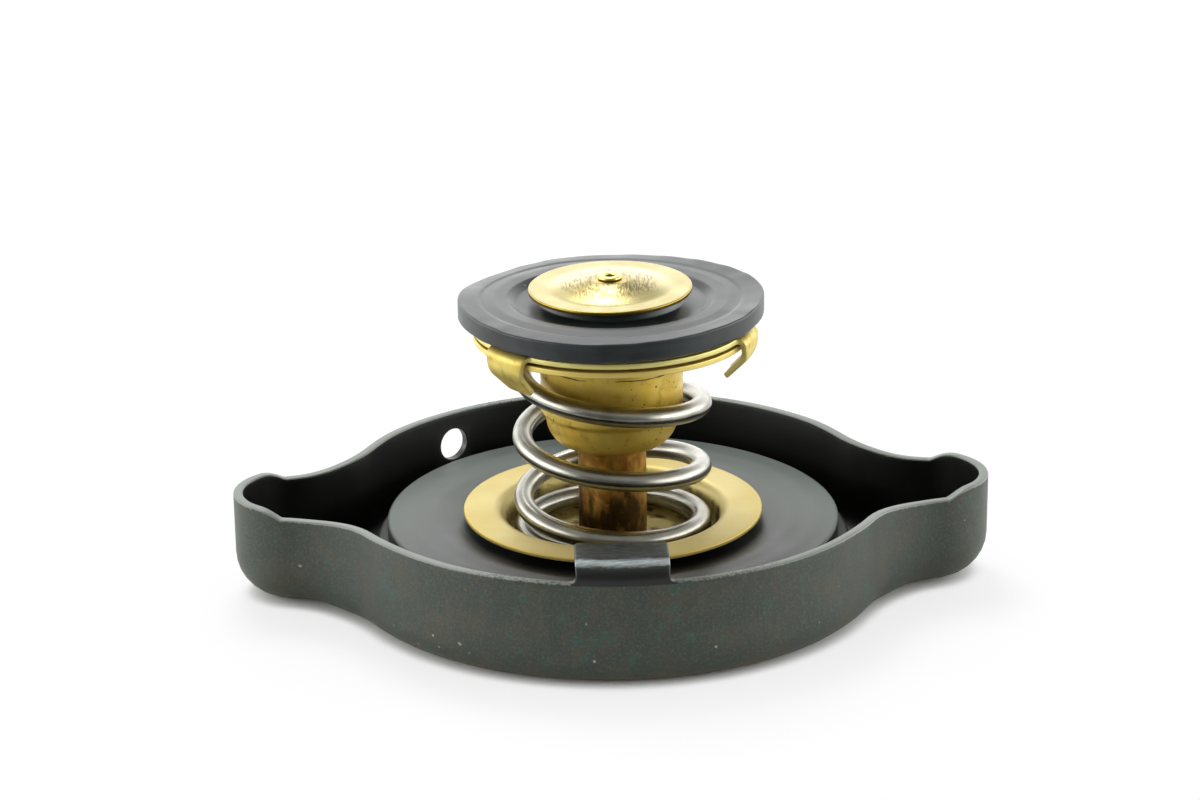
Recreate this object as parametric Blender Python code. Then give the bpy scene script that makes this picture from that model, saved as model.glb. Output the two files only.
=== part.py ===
"""Radiator cap with two ears, resting upside down on its outer face.

The pressed steel shell carries, from the floor up, a filler neck gasket, a flanged
brass spring cup and a brass post riveted through the middle.  A drawn brass bell
slides on the post against the main spring and carries the pressure seal.  The light
vacuum valve hangs through the middle of the bell on a small stem.

Metres, +Z up along the cap's axis, the ears along X, the table at z = 0.
"""
import math

import bmesh
import bpy
import numpy as np
from mathutils import Matrix, Vector

# Fits between neighbouring pieces
CLEARANCE = 0.0003              # between two faces that rest on each other
SLIDE_CLEARANCE = 0.00025       # radial, bell on post
STEM_PLAY = 0.0006              # radial, stem in the claw plate, which lets the disc lean

# Shell, one pressing of painted steel
SHELL_RADIUS = 0.0292
SHELL_HEIGHT = 0.0111
SHEET = 0.0010
SHELL_CORNER_RADIUS = 0.0030    # outside of the bend from floor to round wall
EAR_CORNER_RADIUS = 0.0046      # the same at the tip of an ear
EAR_REACH = 0.0399              # axis to the tip of an ear
EAR_TIP_RADIUS = 0.0068
EAR_BLEND_RADIUS = 0.0120       # hollow curve between ear and round wall
EAR_RIM_DIP = 0.0009            # how far the rim drops along the neck of an ear
EAR_DIP_LENGTH = 0.0100         # how far from the neck the drop begins
EAR_LIP_LENGTH = 0.0036         # raised lip at the tip of an ear
EAR_LIP_RAMP = 0.0014
PLATEAU_MARGIN = 0.0042         # from the wall to the pressed-in disc under the gasket
PLATEAU_RISE = 0.0043
STEP_RUN = 0.0006               # slope of the pressed steps
STEP_ROUND = 0.0005             # inside radius of the pressed steps

# Lock tabs that hook under the neck's cams
TAB_WIDTH = 0.0088
TAB_RISE = 0.0020               # above the rim
TAB_REACH = 0.0056              # inward from the outer wall, short of the gasket's face
TAB_BEND_RADIUS = 0.0018        # outside of the bend
TAB_DROOP = 0.0002
TAB_ROOT_FLARE = 0.0007
TAB_CORNER = 0.0005

# Vent hole in the wall
VENT_RADIUS = 0.0018
VENT_ANGLE = math.radians(125.8)
VENT_BELOW_RIM = 0.0037         # from the rim down to the middle of the hole

# Filler neck gasket
GASKET_MARGIN = 0.00113         # from the edge of the disc that it lies on
GASKET_THICKNESS = 0.0020
GASKET_EDGE = 0.0004
GASKET_FACE_MARGIN = 0.0004     # from the cup's flange to the ring that bears on the neck
GASKET_DIP = 0.00012            # how far the inner edge lies lower, pressed by the flange

# Flanged spring cup
CUP_SHEET = 0.00045
CUP_FLANGE_RADIUS = 0.01577
CUP_RECESS_RADIUS = 0.0108
CUP_DEPTH = 0.00365             # flange top down to the recess floor
CUP_ROLL_RADIUS = 0.0014
CUP_CORNER_RADIUS = 0.0008

# Centre post
POST_RADIUS = 0.0033
POST_STAND = 0.0102             # shoulder up to where the captive head begins
POST_HEAD_RADIUS = 0.0048
POST_HEAD_RIM = 0.0006
TENON_RADIUS = 0.0022
RIVET_HEAD_RADIUS = 0.0034
RIVET_HEAD_HEIGHT = 0.0009
RIVET_ROUND = 0.0006
WASHER_RADIUS = 0.0052
WASHER_THICKNESS = 0.0008

# Bell
BELL_SHEET = 0.0006
BELL_RADIUS = 0.0072
BELL_HEIGHT = 0.01305           # lower edge up to the underside of the flange
BELL_FLANGE_RADIUS = 0.0144
BELL_CONE = math.radians(28)
BELL_SHOULDER_RADIUS = 0.0045
BELL_ROLL_RADIUS = 0.0012

# Claw plate, clenched round the bell's flange
PLATE_SHEET = 0.0006
FLOW_HOLE_RADIUS = 0.0009
FLOW_HOLE_CIRCLE = 0.0034
FLOW_HOLES = 4
CLAWS = 3
CLAW_PHASE = math.radians(-18)
CLAW_ROOT_WIDTH = 0.0070
CLAW_TIP_WIDTH = 0.0038
CLAW_DROP = 0.0006              # straight part beside the flange
CLAW_CURL_RADIUS = 0.0020       # outside of the bend under the flange
CLAW_CURL = math.radians(45)
CLAW_TONGUE = 0.0026            # straight end of the claw

# Pressure seal
SEAL_RADIUS = 0.015875
SEAL_THICKNESS = 0.0024
SEAL_HOLE_RADIUS = 0.0052
SEAL_EDGE_RELIEF = 0.0005       # thinning of the underside towards the edge
SEAL_EDGE_RUN = 0.0011
SEAL_DISH_MARGIN = 0.0014       # shallow dish round the vacuum disc
SEAL_DISH_DEPTH = 0.00055
SEAL_DISH_RUN = 0.0008
SEAL_EDGE = 0.0002
SEAL_BEAD_RISE = 0.00042        # bead that carries the disc, above the upper face
SEAL_BEAD_MARGIN = 0.0011       # from the disc's edge to the foot of the bead
SEAL_BEAD_RUN = 0.0005

# Vacuum valve
DISC_RADIUS = 0.0085
DISC_SHEET = 0.0004
DISC_FLAT = 0.0021              # width of the flat rim round the dome
DOME_RISE = 0.0006
STEM_RADIUS = 0.00075
STEM_HEAD_RADIUS = 0.0012
STEM_HEAD_HEIGHT = 0.0003
STEM_BORE_RADIUS = 0.0004
STEM_BORE_DEPTH = 0.0010
STEM_FOOT_RADIUS = 0.0013
STEM_FOOT_HEIGHT = 0.0004
RETAINER_RADIUS = 0.0027
RETAINER_SHEET = 0.00035
DISC_LEAN = math.radians(1.75)  # the loose stem lets the disc lie askew
DISC_LOW_SIDE = math.radians(-125)

# Main spring, wound left-handed
MAIN_WIRE = 0.00155
MAIN_COIL_MARGIN = 0.00033      # radial, wire in the cup's recess
MAIN_TURNS = 3.7                # from the top dead coil to the bottom one
MAIN_DEAD_TURNS = 0.8           # at each end
MAIN_PHASE = math.radians(-72)  # where the wire leaves the flange
MAIN_EASE_TOP = 0.10            # share of the turns over which the pitch builds up
MAIN_EASE_BOTTOM = 0.35

# Vacuum spring
VACUUM_WIRE = 0.00035
VACUUM_COIL_RADIUS = 0.0019
VACUUM_TURNS = 2.6
VACUUM_DEAD_TURNS = 0.4
VACUUM_EASE = 0.10

# Travel of the pressure valve down the post
VALVE_TRAVEL = 0.0065

# Stack heights, each from its neighbour below
PLATEAU_TOP = PLATEAU_RISE + SHEET
GASKET_SEAT = PLATEAU_TOP + CLEARANCE
CUP_FLANGE_TOP = GASKET_SEAT + GASKET_THICKNESS + CLEARANCE + CUP_SHEET
CUP_FLOOR_TOP = CUP_FLANGE_TOP - CUP_DEPTH
WELL_TOP = CUP_FLOOR_TOP - CUP_SHEET - CLEARANCE
WASHER_SEAT = WELL_TOP - SHEET - CLEARANCE - WASHER_THICKNESS
POST_SHOULDER = CUP_FLOOR_TOP + CLEARANCE
HEAD_UNDERSIDE = POST_SHOULDER + POST_STAND
CONE_GAP = CLEARANCE / math.cos(BELL_CONE)
CONE_SHEET = BELL_SHEET / math.cos(BELL_CONE)
POST_HEAD_SLOPE = (POST_HEAD_RADIUS - POST_RADIUS) * math.tan(BELL_CONE)
POST_TOP = HEAD_UNDERSIDE + POST_HEAD_SLOPE + POST_HEAD_RIM
BELL_SEAT = HEAD_UNDERSIDE - CONE_GAP - CONE_SHEET
FLANGE_UNDERSIDE = BELL_SEAT + BELL_HEIGHT
PLATE_SEAT = FLANGE_UNDERSIDE + BELL_SHEET + CLEARANCE
SEAL_SEAT = PLATE_SEAT + PLATE_SHEET + CLEARANCE
DISC_SEAT = SEAL_SEAT + SEAL_THICKNESS + SEAL_BEAD_RISE + CLEARANCE
STEM_FOOT = POST_TOP + VALVE_TRAVEL + CLEARANCE
RETAINER_SEAT = STEM_FOOT + STEM_FOOT_HEIGHT + CLEARANCE
STEM_TOP = DISC_SEAT + DISC_SHEET + DOME_RISE + CLEARANCE + STEM_HEAD_HEIGHT

# Radii that follow a neighbour
PLATEAU_RADIUS = SHELL_RADIUS - PLATEAU_MARGIN
GASKET_RADIUS = PLATEAU_RADIUS - GASKET_MARGIN
GASKET_FACE_RADIUS = CUP_FLANGE_RADIUS + GASKET_FACE_MARGIN
SEAL_DISH_RADIUS = DISC_RADIUS + SEAL_DISH_MARGIN
SEAL_BEAD_RADIUS = DISC_RADIUS - SEAL_BEAD_MARGIN
MAIN_COIL_RADIUS = CUP_RECESS_RADIUS - MAIN_COIL_MARGIN - MAIN_WIRE / 2

# Sizes of holes that others pass through
CUP_WALL_RADIUS = CUP_RECESS_RADIUS + CUP_SHEET
GASKET_HOLE_RADIUS = CUP_RECESS_RADIUS + CUP_ROLL_RADIUS
TENON_HOLE_RADIUS = TENON_RADIUS + CLEARANCE
BELL_HOLE_RADIUS = POST_RADIUS + SLIDE_CLEARANCE
PLATE_HOLE_RADIUS = STEM_RADIUS + STEM_PLAY
DISC_HOLE_RADIUS = STEM_RADIUS + CLEARANCE

# Facets
LARGE_ROUND = 44
MEDIUM_ROUND = 32
SMALL_ROUND = 24
TINY_ROUND = 14
MAIN_STEPS_PER_TURN = 21
VACUUM_STEPS_PER_TURN = 12


def finish(name, red, green, blue, metallic, roughness):
    """A plain Principled material."""
    material = bpy.data.materials.new(name)
    material.use_nodes = True
    shader = material.node_tree.nodes["Principled BSDF"]
    shader.inputs["Base Color"].default_value = (red, green, blue, 1.0)
    shader.inputs["Metallic"].default_value = metallic
    shader.inputs["Roughness"].default_value = roughness
    return material


def add_object(name, bm, material, parent=None, location=(0.0, 0.0, 0.0)):
    """Turn a bmesh into a named object with smooth shading and sharp corners."""
    bmesh.ops.recalc_face_normals(bm, faces=bm.faces)
    mesh = bpy.data.meshes.new(name)
    bm.to_mesh(mesh)
    bm.free()
    mesh.shade_smooth()
    mesh.set_sharp_from_angle(angle=math.radians(35))
    mesh.materials.append(material)
    item = bpy.data.objects.new(name, mesh)
    item.parent = parent
    item.location = location
    bpy.context.scene.collection.objects.link(item)
    return item


def add_axis(name, height, parent=None):
    """An empty on the cap's axis that carries the pieces of one moving body."""
    empty = bpy.data.objects.new(name, None)
    empty.empty_display_size = 0.005
    empty.parent = parent
    empty.location = (0.0, 0.0, height)
    bpy.context.scene.collection.objects.link(empty)
    return empty


def rounded(corners, closed=True, steps=2):
    """Corners (r, z, radius) of a profile, each replaced by an arc of its radius."""
    points = []
    last = len(corners) - 1
    for index, (r, z, radius) in enumerate(corners):
        is_end = not closed and index in (0, last)
        if radius == 0.0 or is_end:
            points.append((r, z))
            continue
        here = Vector((r, z))
        to_previous = (Vector(corners[index - 1][:2]) - here).normalized()
        to_next = (Vector(corners[(index + 1) % (last + 1)][:2]) - here).normalized()
        half = to_previous.angle(to_next) / 2
        bisector = (to_previous + to_next).normalized()
        centre = here + bisector * radius / math.sin(half)
        start = here + to_previous * radius / math.tan(half) - centre
        end = here + to_next * radius / math.tan(half) - centre
        sweep = start.angle_signed(end)
        for step in range(steps + 1):
            spoke = start.copy()
            spoke.rotate(Matrix.Rotation(-sweep * step / steps, 2))
            points.append(tuple(centre + spoke))
    return points


def arc(centre_r, centre_z, radius, start, end, steps):
    """Points of an arc in the (r, z) plane, its ends included."""
    angles = np.linspace(start, end, steps + 1)
    return [(centre_r + radius * math.cos(a), centre_z + radius * math.sin(a)) for a in angles]


def turned(name, profile, segments, material, parent=None, height=0.0):
    """A solid of revolution.  A profile that starts and ends on the axis stays open there."""
    bm = bmesh.new()
    verts = [bm.verts.new((r, 0.0, z)) for r, z in profile]
    pairs = list(zip(verts, verts[1:]))
    if profile[0][0] > 0.0:
        pairs.append((verts[-1], verts[0]))
    edges = [bm.edges.new(pair) for pair in pairs]
    bmesh.ops.spin(bm, geom=verts + edges, cent=(0, 0, 0), axis=(0, 0, 1),
                   angle=2 * math.pi, steps=segments, use_merge=True)
    bmesh.ops.remove_doubles(bm, verts=bm.verts, dist=1e-7)
    return add_object(name, bm, material, parent, (0.0, 0.0, height))


def polar(radius, angle, height):
    """A point given by its distance from the axis, its direction and its height."""
    return radius * math.cos(angle), radius * math.sin(angle), height


def loft(bm, rings, left_out=()):
    """Join closed rings of points, in order, the last one back to the first.

    left_out holds the (ring, column) pairs whose face is not made.
    """
    verts = [[bm.verts.new(point) for point in ring] for ring in rings]
    columns = len(rings[0])
    for row, lower in enumerate(verts):
        upper = verts[(row + 1) % len(verts)]
        for column in range(columns):
            if (row, column) in left_out:
                continue
            after = (column + 1) % columns
            bm.faces.new((lower[column], lower[after], upper[after], upper[column]))
    return verts


def tongue(bm, outer, inner, rows):
    """Grow a sheet tongue out of an open rim.

    outer and inner are the rim's verts on the two faces of the sheet.  rows holds one
    pair of point lists for each further row of the tongue.
    """
    for outer_points, inner_points in rows:
        next_outer = [bm.verts.new(point) for point in outer_points]
        next_inner = [bm.verts.new(point) for point in inner_points]
        for side, grown in ((outer, next_outer), (inner, next_inner)):
            for a, b, c, d in zip(side, side[1:], grown[1:], grown):
                bm.faces.new((a, b, c, d))
        for edge in (0, -1):
            bm.faces.new((outer[edge], inner[edge], next_inner[edge], next_outer[edge]))
        outer, inner = next_outer, next_inner
    for a, b, c, d in zip(outer, outer[1:], inner[1:], inner):
        bm.faces.new((a, b, c, d))


def cut(item, cutter):
    """Subtract a hidden cutter from an object."""
    cutter.hide_render = True
    cutter.display_type = 'WIRE'
    modifier = item.modifiers.new("cut_" + cutter.name, 'BOOLEAN')
    modifier.operation = 'DIFFERENCE'
    modifier.solver = 'EXACT'
    modifier.object = cutter


# Plan of the shell: ear tip, hollow blend, round wall and lock tab in one quadrant
TIP_COLUMNS = 7
BLEND_COLUMNS = 4
WALL_COLUMNS = 7
HALF_TAB_COLUMNS = 2
QUADRANT = TIP_COLUMNS + BLEND_COLUMNS + WALL_COLUMNS + HALF_TAB_COLUMNS
CORNER_STEPS = 4

TAB_ROOT_ANGLE = (TAB_WIDTH / 2 + TAB_ROOT_FLARE) / SHELL_RADIUS


def blend_centre():
    """Centre of the hollow curve, which touches the round wall and the ear's tip arc."""
    tip = EAR_REACH - EAR_TIP_RADIUS
    to_axis = SHELL_RADIUS + EAR_BLEND_RADIUS
    to_tip = EAR_TIP_RADIUS + EAR_BLEND_RADIUS
    x = (to_axis ** 2 - to_tip ** 2 + tip ** 2) / (2 * tip)
    return np.array([x, math.sqrt(to_axis ** 2 - x ** 2)])


def outline(inset):
    """The shell's plan moved inward by inset, counter-clockwise from the +X ear tip."""
    tip = np.array([EAR_REACH - EAR_TIP_RADIUS, 0.0])
    blend = blend_centre()
    at_tip = math.atan2(blend[1], blend[0] - tip[0])
    at_axis = math.atan2(blend[1], blend[0])
    spans = (
        (tip, EAR_TIP_RADIUS - inset, 0.0, at_tip, TIP_COLUMNS),
        (blend, EAR_BLEND_RADIUS + inset, at_tip + math.pi, at_axis + math.pi, BLEND_COLUMNS),
        (np.zeros(2), SHELL_RADIUS - inset, at_axis, math.pi / 2 - TAB_ROOT_ANGLE, WALL_COLUMNS),
        (np.zeros(2), SHELL_RADIUS - inset, math.pi / 2 - TAB_ROOT_ANGLE, math.pi / 2,
         HALF_TAB_COLUMNS),
    )
    pieces = []
    for centre, radius, start, end, columns in spans:
        angles = np.linspace(start, end, columns, endpoint=False)
        pieces.append(centre + radius * np.column_stack([np.cos(angles), np.sin(angles)]))
    quadrant = np.vstack(pieces + [[[0.0, SHELL_RADIUS - inset]]])
    half = np.vstack([quadrant, quadrant[-2::-1] * (-1, 1)])
    return np.vstack([half, half[-2:0:-1] * (1, -1)])


def rim_height(x):
    """Height of the rim: it dips along the neck of each ear and lifts again at the tip."""
    reach = np.abs(x)
    neck = EAR_REACH - EAR_TIP_RADIUS
    fall = np.clip((reach - (neck - EAR_DIP_LENGTH)) / EAR_DIP_LENGTH, 0, 1)
    lift = np.clip((reach - (EAR_REACH - EAR_LIP_LENGTH - EAR_LIP_RAMP)) / EAR_LIP_RAMP, 0, 1)
    fall = fall * fall * (3 - 2 * fall)
    return SHELL_HEIGHT - EAR_RIM_DIP * (fall - lift)


def corner_radius(x):
    """Outside of the bend from floor to wall, which widens towards the tip of an ear."""
    neck = EAR_REACH - EAR_TIP_RADIUS
    share = np.clip((np.abs(x) - (neck - EAR_DIP_LENGTH / 2)) / (EAR_DIP_LENGTH / 2), 0, 1)
    return SHELL_CORNER_RADIUS + (EAR_CORNER_RADIUS - SHELL_CORNER_RADIUS) * share


def flat_ring(plan, height):
    """Points of a plan curve at one height, or at a height for each point."""
    return np.column_stack([plan, np.broadcast_to(height, len(plan))])


def bend_ring(inset, radius, angle):
    """Points on the bend from floor to wall, for each its radius, at an angle up the bend.

    The bend's outside lies at inset 0, its inside one sheet further in and up.
    """
    plan = outline(0.0)
    inward = (outline(SHEET) - plan) / SHEET
    across = inset + radius * (1 - math.sin(angle))
    return flat_ring(plan + inward * across[:, None], inset + radius * (1 - math.cos(angle)))


def shell_rings():
    """Rings of the sheet, from the centre hole out along the outside and back inside."""
    corner = corner_radius(outline(0.0)[:, 0])
    foot = bend_ring(0.0, corner, 0.0)
    by_outline = np.arctan2(foot[:, 1], foot[:, 0])
    even = np.arange(len(foot)) * math.tau / len(foot)
    well_radius = CUP_WALL_RADIUS + CLEARANCE + STEP_ROUND
    bend = STEP_ROUND + SHEET
    outside = rounded([
        (TENON_HOLE_RADIUS, WELL_TOP - SHEET, 0.0),
        (well_radius + SHEET, WELL_TOP - SHEET, STEP_ROUND),
        (well_radius + SHEET + STEP_RUN, PLATEAU_RISE, STEP_ROUND),
        (PLATEAU_RADIUS - SHEET, PLATEAU_RISE, STEP_ROUND),
        (PLATEAU_RADIUS - SHEET + STEP_RUN, 0.0, STEP_ROUND),
        (PLATEAU_RADIUS + SHEET, 0.0, 0.0)], closed=False, steps=1)[:-1]
    inside = rounded([
        (PLATEAU_RADIUS + SHEET, SHEET, 0.0),
        (PLATEAU_RADIUS + STEP_RUN, SHEET, STEP_ROUND),
        (PLATEAU_RADIUS, PLATEAU_TOP, STEP_ROUND),
        (well_radius + STEP_RUN, PLATEAU_TOP, STEP_ROUND),
        (well_radius, WELL_TOP, STEP_ROUND),
        (TENON_HOLE_RADIUS, WELL_TOP, 0.0)], closed=False, steps=1)[1:]

    def round_ring(radius, height):
        """A circle, its points spaced evenly near the hole and by the outline further out."""
        angles = by_outline if radius > PLATEAU_RADIUS - bend - STEP_RUN else even
        circle = radius * np.column_stack([np.cos(angles), np.sin(angles)])
        return flat_ring(circle, height)

    rings = [round_ring(radius, height) for radius, height in outside]
    turn = np.linspace(0, math.pi / 2, CORNER_STEPS + 1)
    rings += [bend_ring(0.0, corner, angle) for angle in turn]
    rim = rim_height(outline(0.0)[:, 0])
    rings.append(flat_ring(outline(0.0), rim))
    rings.append(flat_ring(outline(SHEET), rim))
    rings += [bend_ring(SHEET, corner - SHEET, angle) for angle in turn[::-1]]
    rings += [round_ring(radius, height) for radius, height in inside]
    return rings, len(outside) + CORNER_STEPS + 1


def tab_rows(middle):
    """Rows of a lock tab: up from the rim, over the bend and inward.

    Each stop of the path holds the place on the tab's outside, the same place on its
    inside and what the tab's half width gains or loses there.
    """
    top = SHELL_HEIGHT + TAB_RISE
    bend_height = top - TAB_BEND_RADIUS
    bend_radius = SHELL_RADIUS - TAB_BEND_RADIUS
    over = arc(bend_radius, bend_height, TAB_BEND_RADIUS, 0.0, math.pi / 2, 4)
    under = arc(bend_radius, bend_height, TAB_BEND_RADIUS - SHEET, 0.0, math.pi / 2, 4)
    path = [(outer, inner, 0.0) for outer, inner in zip(over, under)]
    path[0] = (over[0], under[0], TAB_ROOT_FLARE / 5)
    for reach, narrowing in ((TAB_REACH - TAB_CORNER, 0.0), (TAB_REACH, -TAB_CORNER)):
        radius = SHELL_RADIUS - reach
        drop = TAB_DROOP * (reach - TAB_BEND_RADIUS) / (TAB_REACH - TAB_BEND_RADIUS)
        path.append(((radius, top - drop), (radius, top - drop - SHEET), narrowing))
    shares = np.linspace(-1, 1, 2 * HALF_TAB_COLUMNS + 1)
    rows = []
    for outer, inner, widening in path:
        sides = shares * (TAB_WIDTH / 2 + widening)
        rows.append(tuple([polar(r, middle + side / r, z) for side in sides]
                          for r, z in (outer, inner)))
    return rows


def make_shell(material):
    """The pressed shell with its ears, lock tabs and vent hole."""
    rings, rim_row = shell_rings()
    tab_columns = []
    for middle in (QUADRANT, 3 * QUADRANT):
        tab_columns += range(middle - HALF_TAB_COLUMNS, middle + HALF_TAB_COLUMNS)
    bm = bmesh.new()
    verts = loft(bm, rings, {(rim_row, column) for column in tab_columns})
    for middle in (QUADRANT, 3 * QUADRANT):
        span = slice(middle - HALF_TAB_COLUMNS, middle + HALF_TAB_COLUMNS + 1)
        angle = math.pi / 2 * middle / QUADRANT
        tongue(bm, verts[rim_row][span], verts[rim_row + 1][span], tab_rows(angle))
    shell = add_object("cap_shell", bm, material)
    cutter = bmesh.new()
    turn = Matrix.Rotation(VENT_ANGLE, 4, 'Z') @ Matrix.Rotation(math.pi / 2, 4, 'Y')
    middle = Vector(polar(SHELL_RADIUS, VENT_ANGLE, SHELL_HEIGHT - VENT_BELOW_RIM))
    bmesh.ops.create_cone(cutter, cap_ends=True, segments=TINY_ROUND, radius1=VENT_RADIUS,
                          radius2=VENT_RADIUS, depth=6 * SHEET,
                          matrix=Matrix.Translation(middle) @ turn)
    cut(shell, add_object("vent_cutter", cutter, material))
    return shell


def make_gasket(material, parent):
    """The filler neck gasket, a flat rubber ring."""
    profile = rounded([
        (GASKET_HOLE_RADIUS, 0.0, 0.0),
        (GASKET_RADIUS, 0.0, 0.0),
        (GASKET_RADIUS, GASKET_THICKNESS, GASKET_EDGE),
        (GASKET_FACE_RADIUS, GASKET_THICKNESS, 0.0),
        (GASKET_HOLE_RADIUS, GASKET_THICKNESS - GASKET_DIP, 0.0)], steps=1)
    return turned("gasket", profile, LARGE_ROUND, material, parent, GASKET_SEAT)


def make_spring_cup(material, parent):
    """The flanged cup that holds the gasket down and the main spring in place."""
    flange_bottom = CUP_DEPTH - CUP_SHEET
    profile = rounded([
        (TENON_HOLE_RADIUS, -CUP_SHEET, 0.0),
        (CUP_WALL_RADIUS, -CUP_SHEET, CUP_CORNER_RADIUS + CUP_SHEET),
        (CUP_WALL_RADIUS, flange_bottom, CUP_ROLL_RADIUS - CUP_SHEET),
        (CUP_FLANGE_RADIUS, flange_bottom, 0.0),
        (CUP_FLANGE_RADIUS, CUP_DEPTH, 0.0),
        (CUP_RECESS_RADIUS, CUP_DEPTH, CUP_ROLL_RADIUS),
        (CUP_RECESS_RADIUS, 0.0, CUP_CORNER_RADIUS),
        (TENON_HOLE_RADIUS, 0.0, 0.0)])
    return turned("spring_cup", profile, LARGE_ROUND, material, parent, CUP_FLOOR_TOP)


def make_post(material, parent):
    """The post: captive head in the bell, shoulder on the cup, tenon and peened head."""
    washer_bottom = WASHER_SEAT - CLEARANCE - POST_SHOULDER
    head_bottom = washer_bottom - RIVET_HEAD_HEIGHT
    profile = [(0.0, head_bottom)] + rounded([
        (0.0, head_bottom, 0.0),
        (RIVET_HEAD_RADIUS, head_bottom, RIVET_ROUND),
        (RIVET_HEAD_RADIUS, washer_bottom, 0.0),
        (TENON_RADIUS, washer_bottom, 0.0),
        (TENON_RADIUS, 0.0, 0.0),
        (POST_RADIUS, 0.0, 0.0),
        (POST_RADIUS, POST_STAND, 0.0),
        (POST_HEAD_RADIUS, POST_STAND + POST_HEAD_SLOPE, 0.0),
        (POST_HEAD_RADIUS, POST_TOP - POST_SHOULDER, 0.0),
        (0.0, POST_TOP - POST_SHOULDER, 0.0)], closed=False)[1:]
    return turned("centre_post", profile, SMALL_ROUND, material, parent, POST_SHOULDER)


def make_rivet_washer(material, parent):
    """The washer under the peened end of the post."""
    profile = [(TENON_HOLE_RADIUS, 0.0), (WASHER_RADIUS, 0.0),
               (WASHER_RADIUS, WASHER_THICKNESS), (TENON_HOLE_RADIUS, WASHER_THICKNESS)]
    return turned("rivet_washer", profile, SMALL_ROUND, material, parent, WASHER_SEAT)


def make_bell(material, parent):
    """The drawn bell: conical foot round the post, shoulder, wall and flange."""
    wall = BELL_RADIUS
    tangent = math.pi / 2 - BELL_CONE
    arc_r = wall - BELL_SHOULDER_RADIUS
    cone_end = arc_r + BELL_SHOULDER_RADIUS * math.sin(BELL_CONE)
    cone_top = (cone_end - BELL_HOLE_RADIUS) * math.tan(BELL_CONE)
    arc_z = cone_top + BELL_SHOULDER_RADIUS * math.cos(BELL_CONE)
    inner_arc = BELL_SHOULDER_RADIUS - BELL_SHEET
    outer = [(BELL_HOLE_RADIUS, 0.0)]
    outer += arc(arc_r, arc_z, BELL_SHOULDER_RADIUS, -tangent, 0.0, 4)
    outer += rounded([
        (wall, arc_z, 0.0),
        (wall, BELL_HEIGHT, BELL_ROLL_RADIUS),
        (BELL_FLANGE_RADIUS, BELL_HEIGHT, 0.0)], closed=False)[1:]
    inner = [(BELL_FLANGE_RADIUS, BELL_HEIGHT + BELL_SHEET)]
    inner += rounded([
        (BELL_FLANGE_RADIUS, BELL_HEIGHT + BELL_SHEET, 0.0),
        (wall - BELL_SHEET, BELL_HEIGHT + BELL_SHEET, BELL_ROLL_RADIUS + BELL_SHEET),
        (wall - BELL_SHEET, arc_z, 0.0)], closed=False)[1:]
    inner += arc(arc_r, arc_z, inner_arc, 0.0, -tangent, 4)[1:]
    inner.append((BELL_HOLE_RADIUS, CONE_SHEET))
    return turned("bell", outer + inner, MEDIUM_ROUND, material, parent, BELL_SEAT)


CLAW_COLUMNS = 4
GAP_COLUMNS = 10


def claw_rows(middle):
    """Rows of a claw: over the edge of the plate, down beside the flange and under it."""
    edge = BELL_FLANGE_RADIUS
    wrap = PLATE_SHEET + CLEARANCE
    side = edge + wrap
    over = arc(edge, -CLEARANCE, wrap, math.pi / 2, 0.0, 3)[1:]
    under = arc(edge, -CLEARANCE, CLEARANCE, math.pi / 2, 0.0, 3)[1:]
    curl_r = side - CLAW_CURL_RADIUS
    curl_z = -CLEARANCE - CLAW_DROP
    over += arc(curl_r, curl_z, CLAW_CURL_RADIUS, 0.0, -CLAW_CURL, 3)
    under += arc(curl_r, curl_z, CLAW_CURL_RADIUS - PLATE_SHEET, 0.0, -CLAW_CURL, 3)
    run = (-CLAW_TONGUE * math.sin(CLAW_CURL), -CLAW_TONGUE * math.cos(CLAW_CURL))
    for path in (over, under):
        path.append((path[-1][0] + run[0], path[-1][1] + run[1]))
    lengths = np.cumsum([0.0] + [math.dist(a, b) for a, b in zip(over, over[1:])])
    rows = []
    for outer, inner, share in zip(over, under, lengths / lengths[-1]):
        width = CLAW_ROOT_WIDTH + (CLAW_TIP_WIDTH - CLAW_ROOT_WIDTH) * share
        sides = np.linspace(-width / 2, width / 2, CLAW_COLUMNS + 1)
        rows.append(tuple([polar(r, middle + s / side, z) for s in sides]
                          for r, z in (outer, inner)))
    return rows


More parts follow.
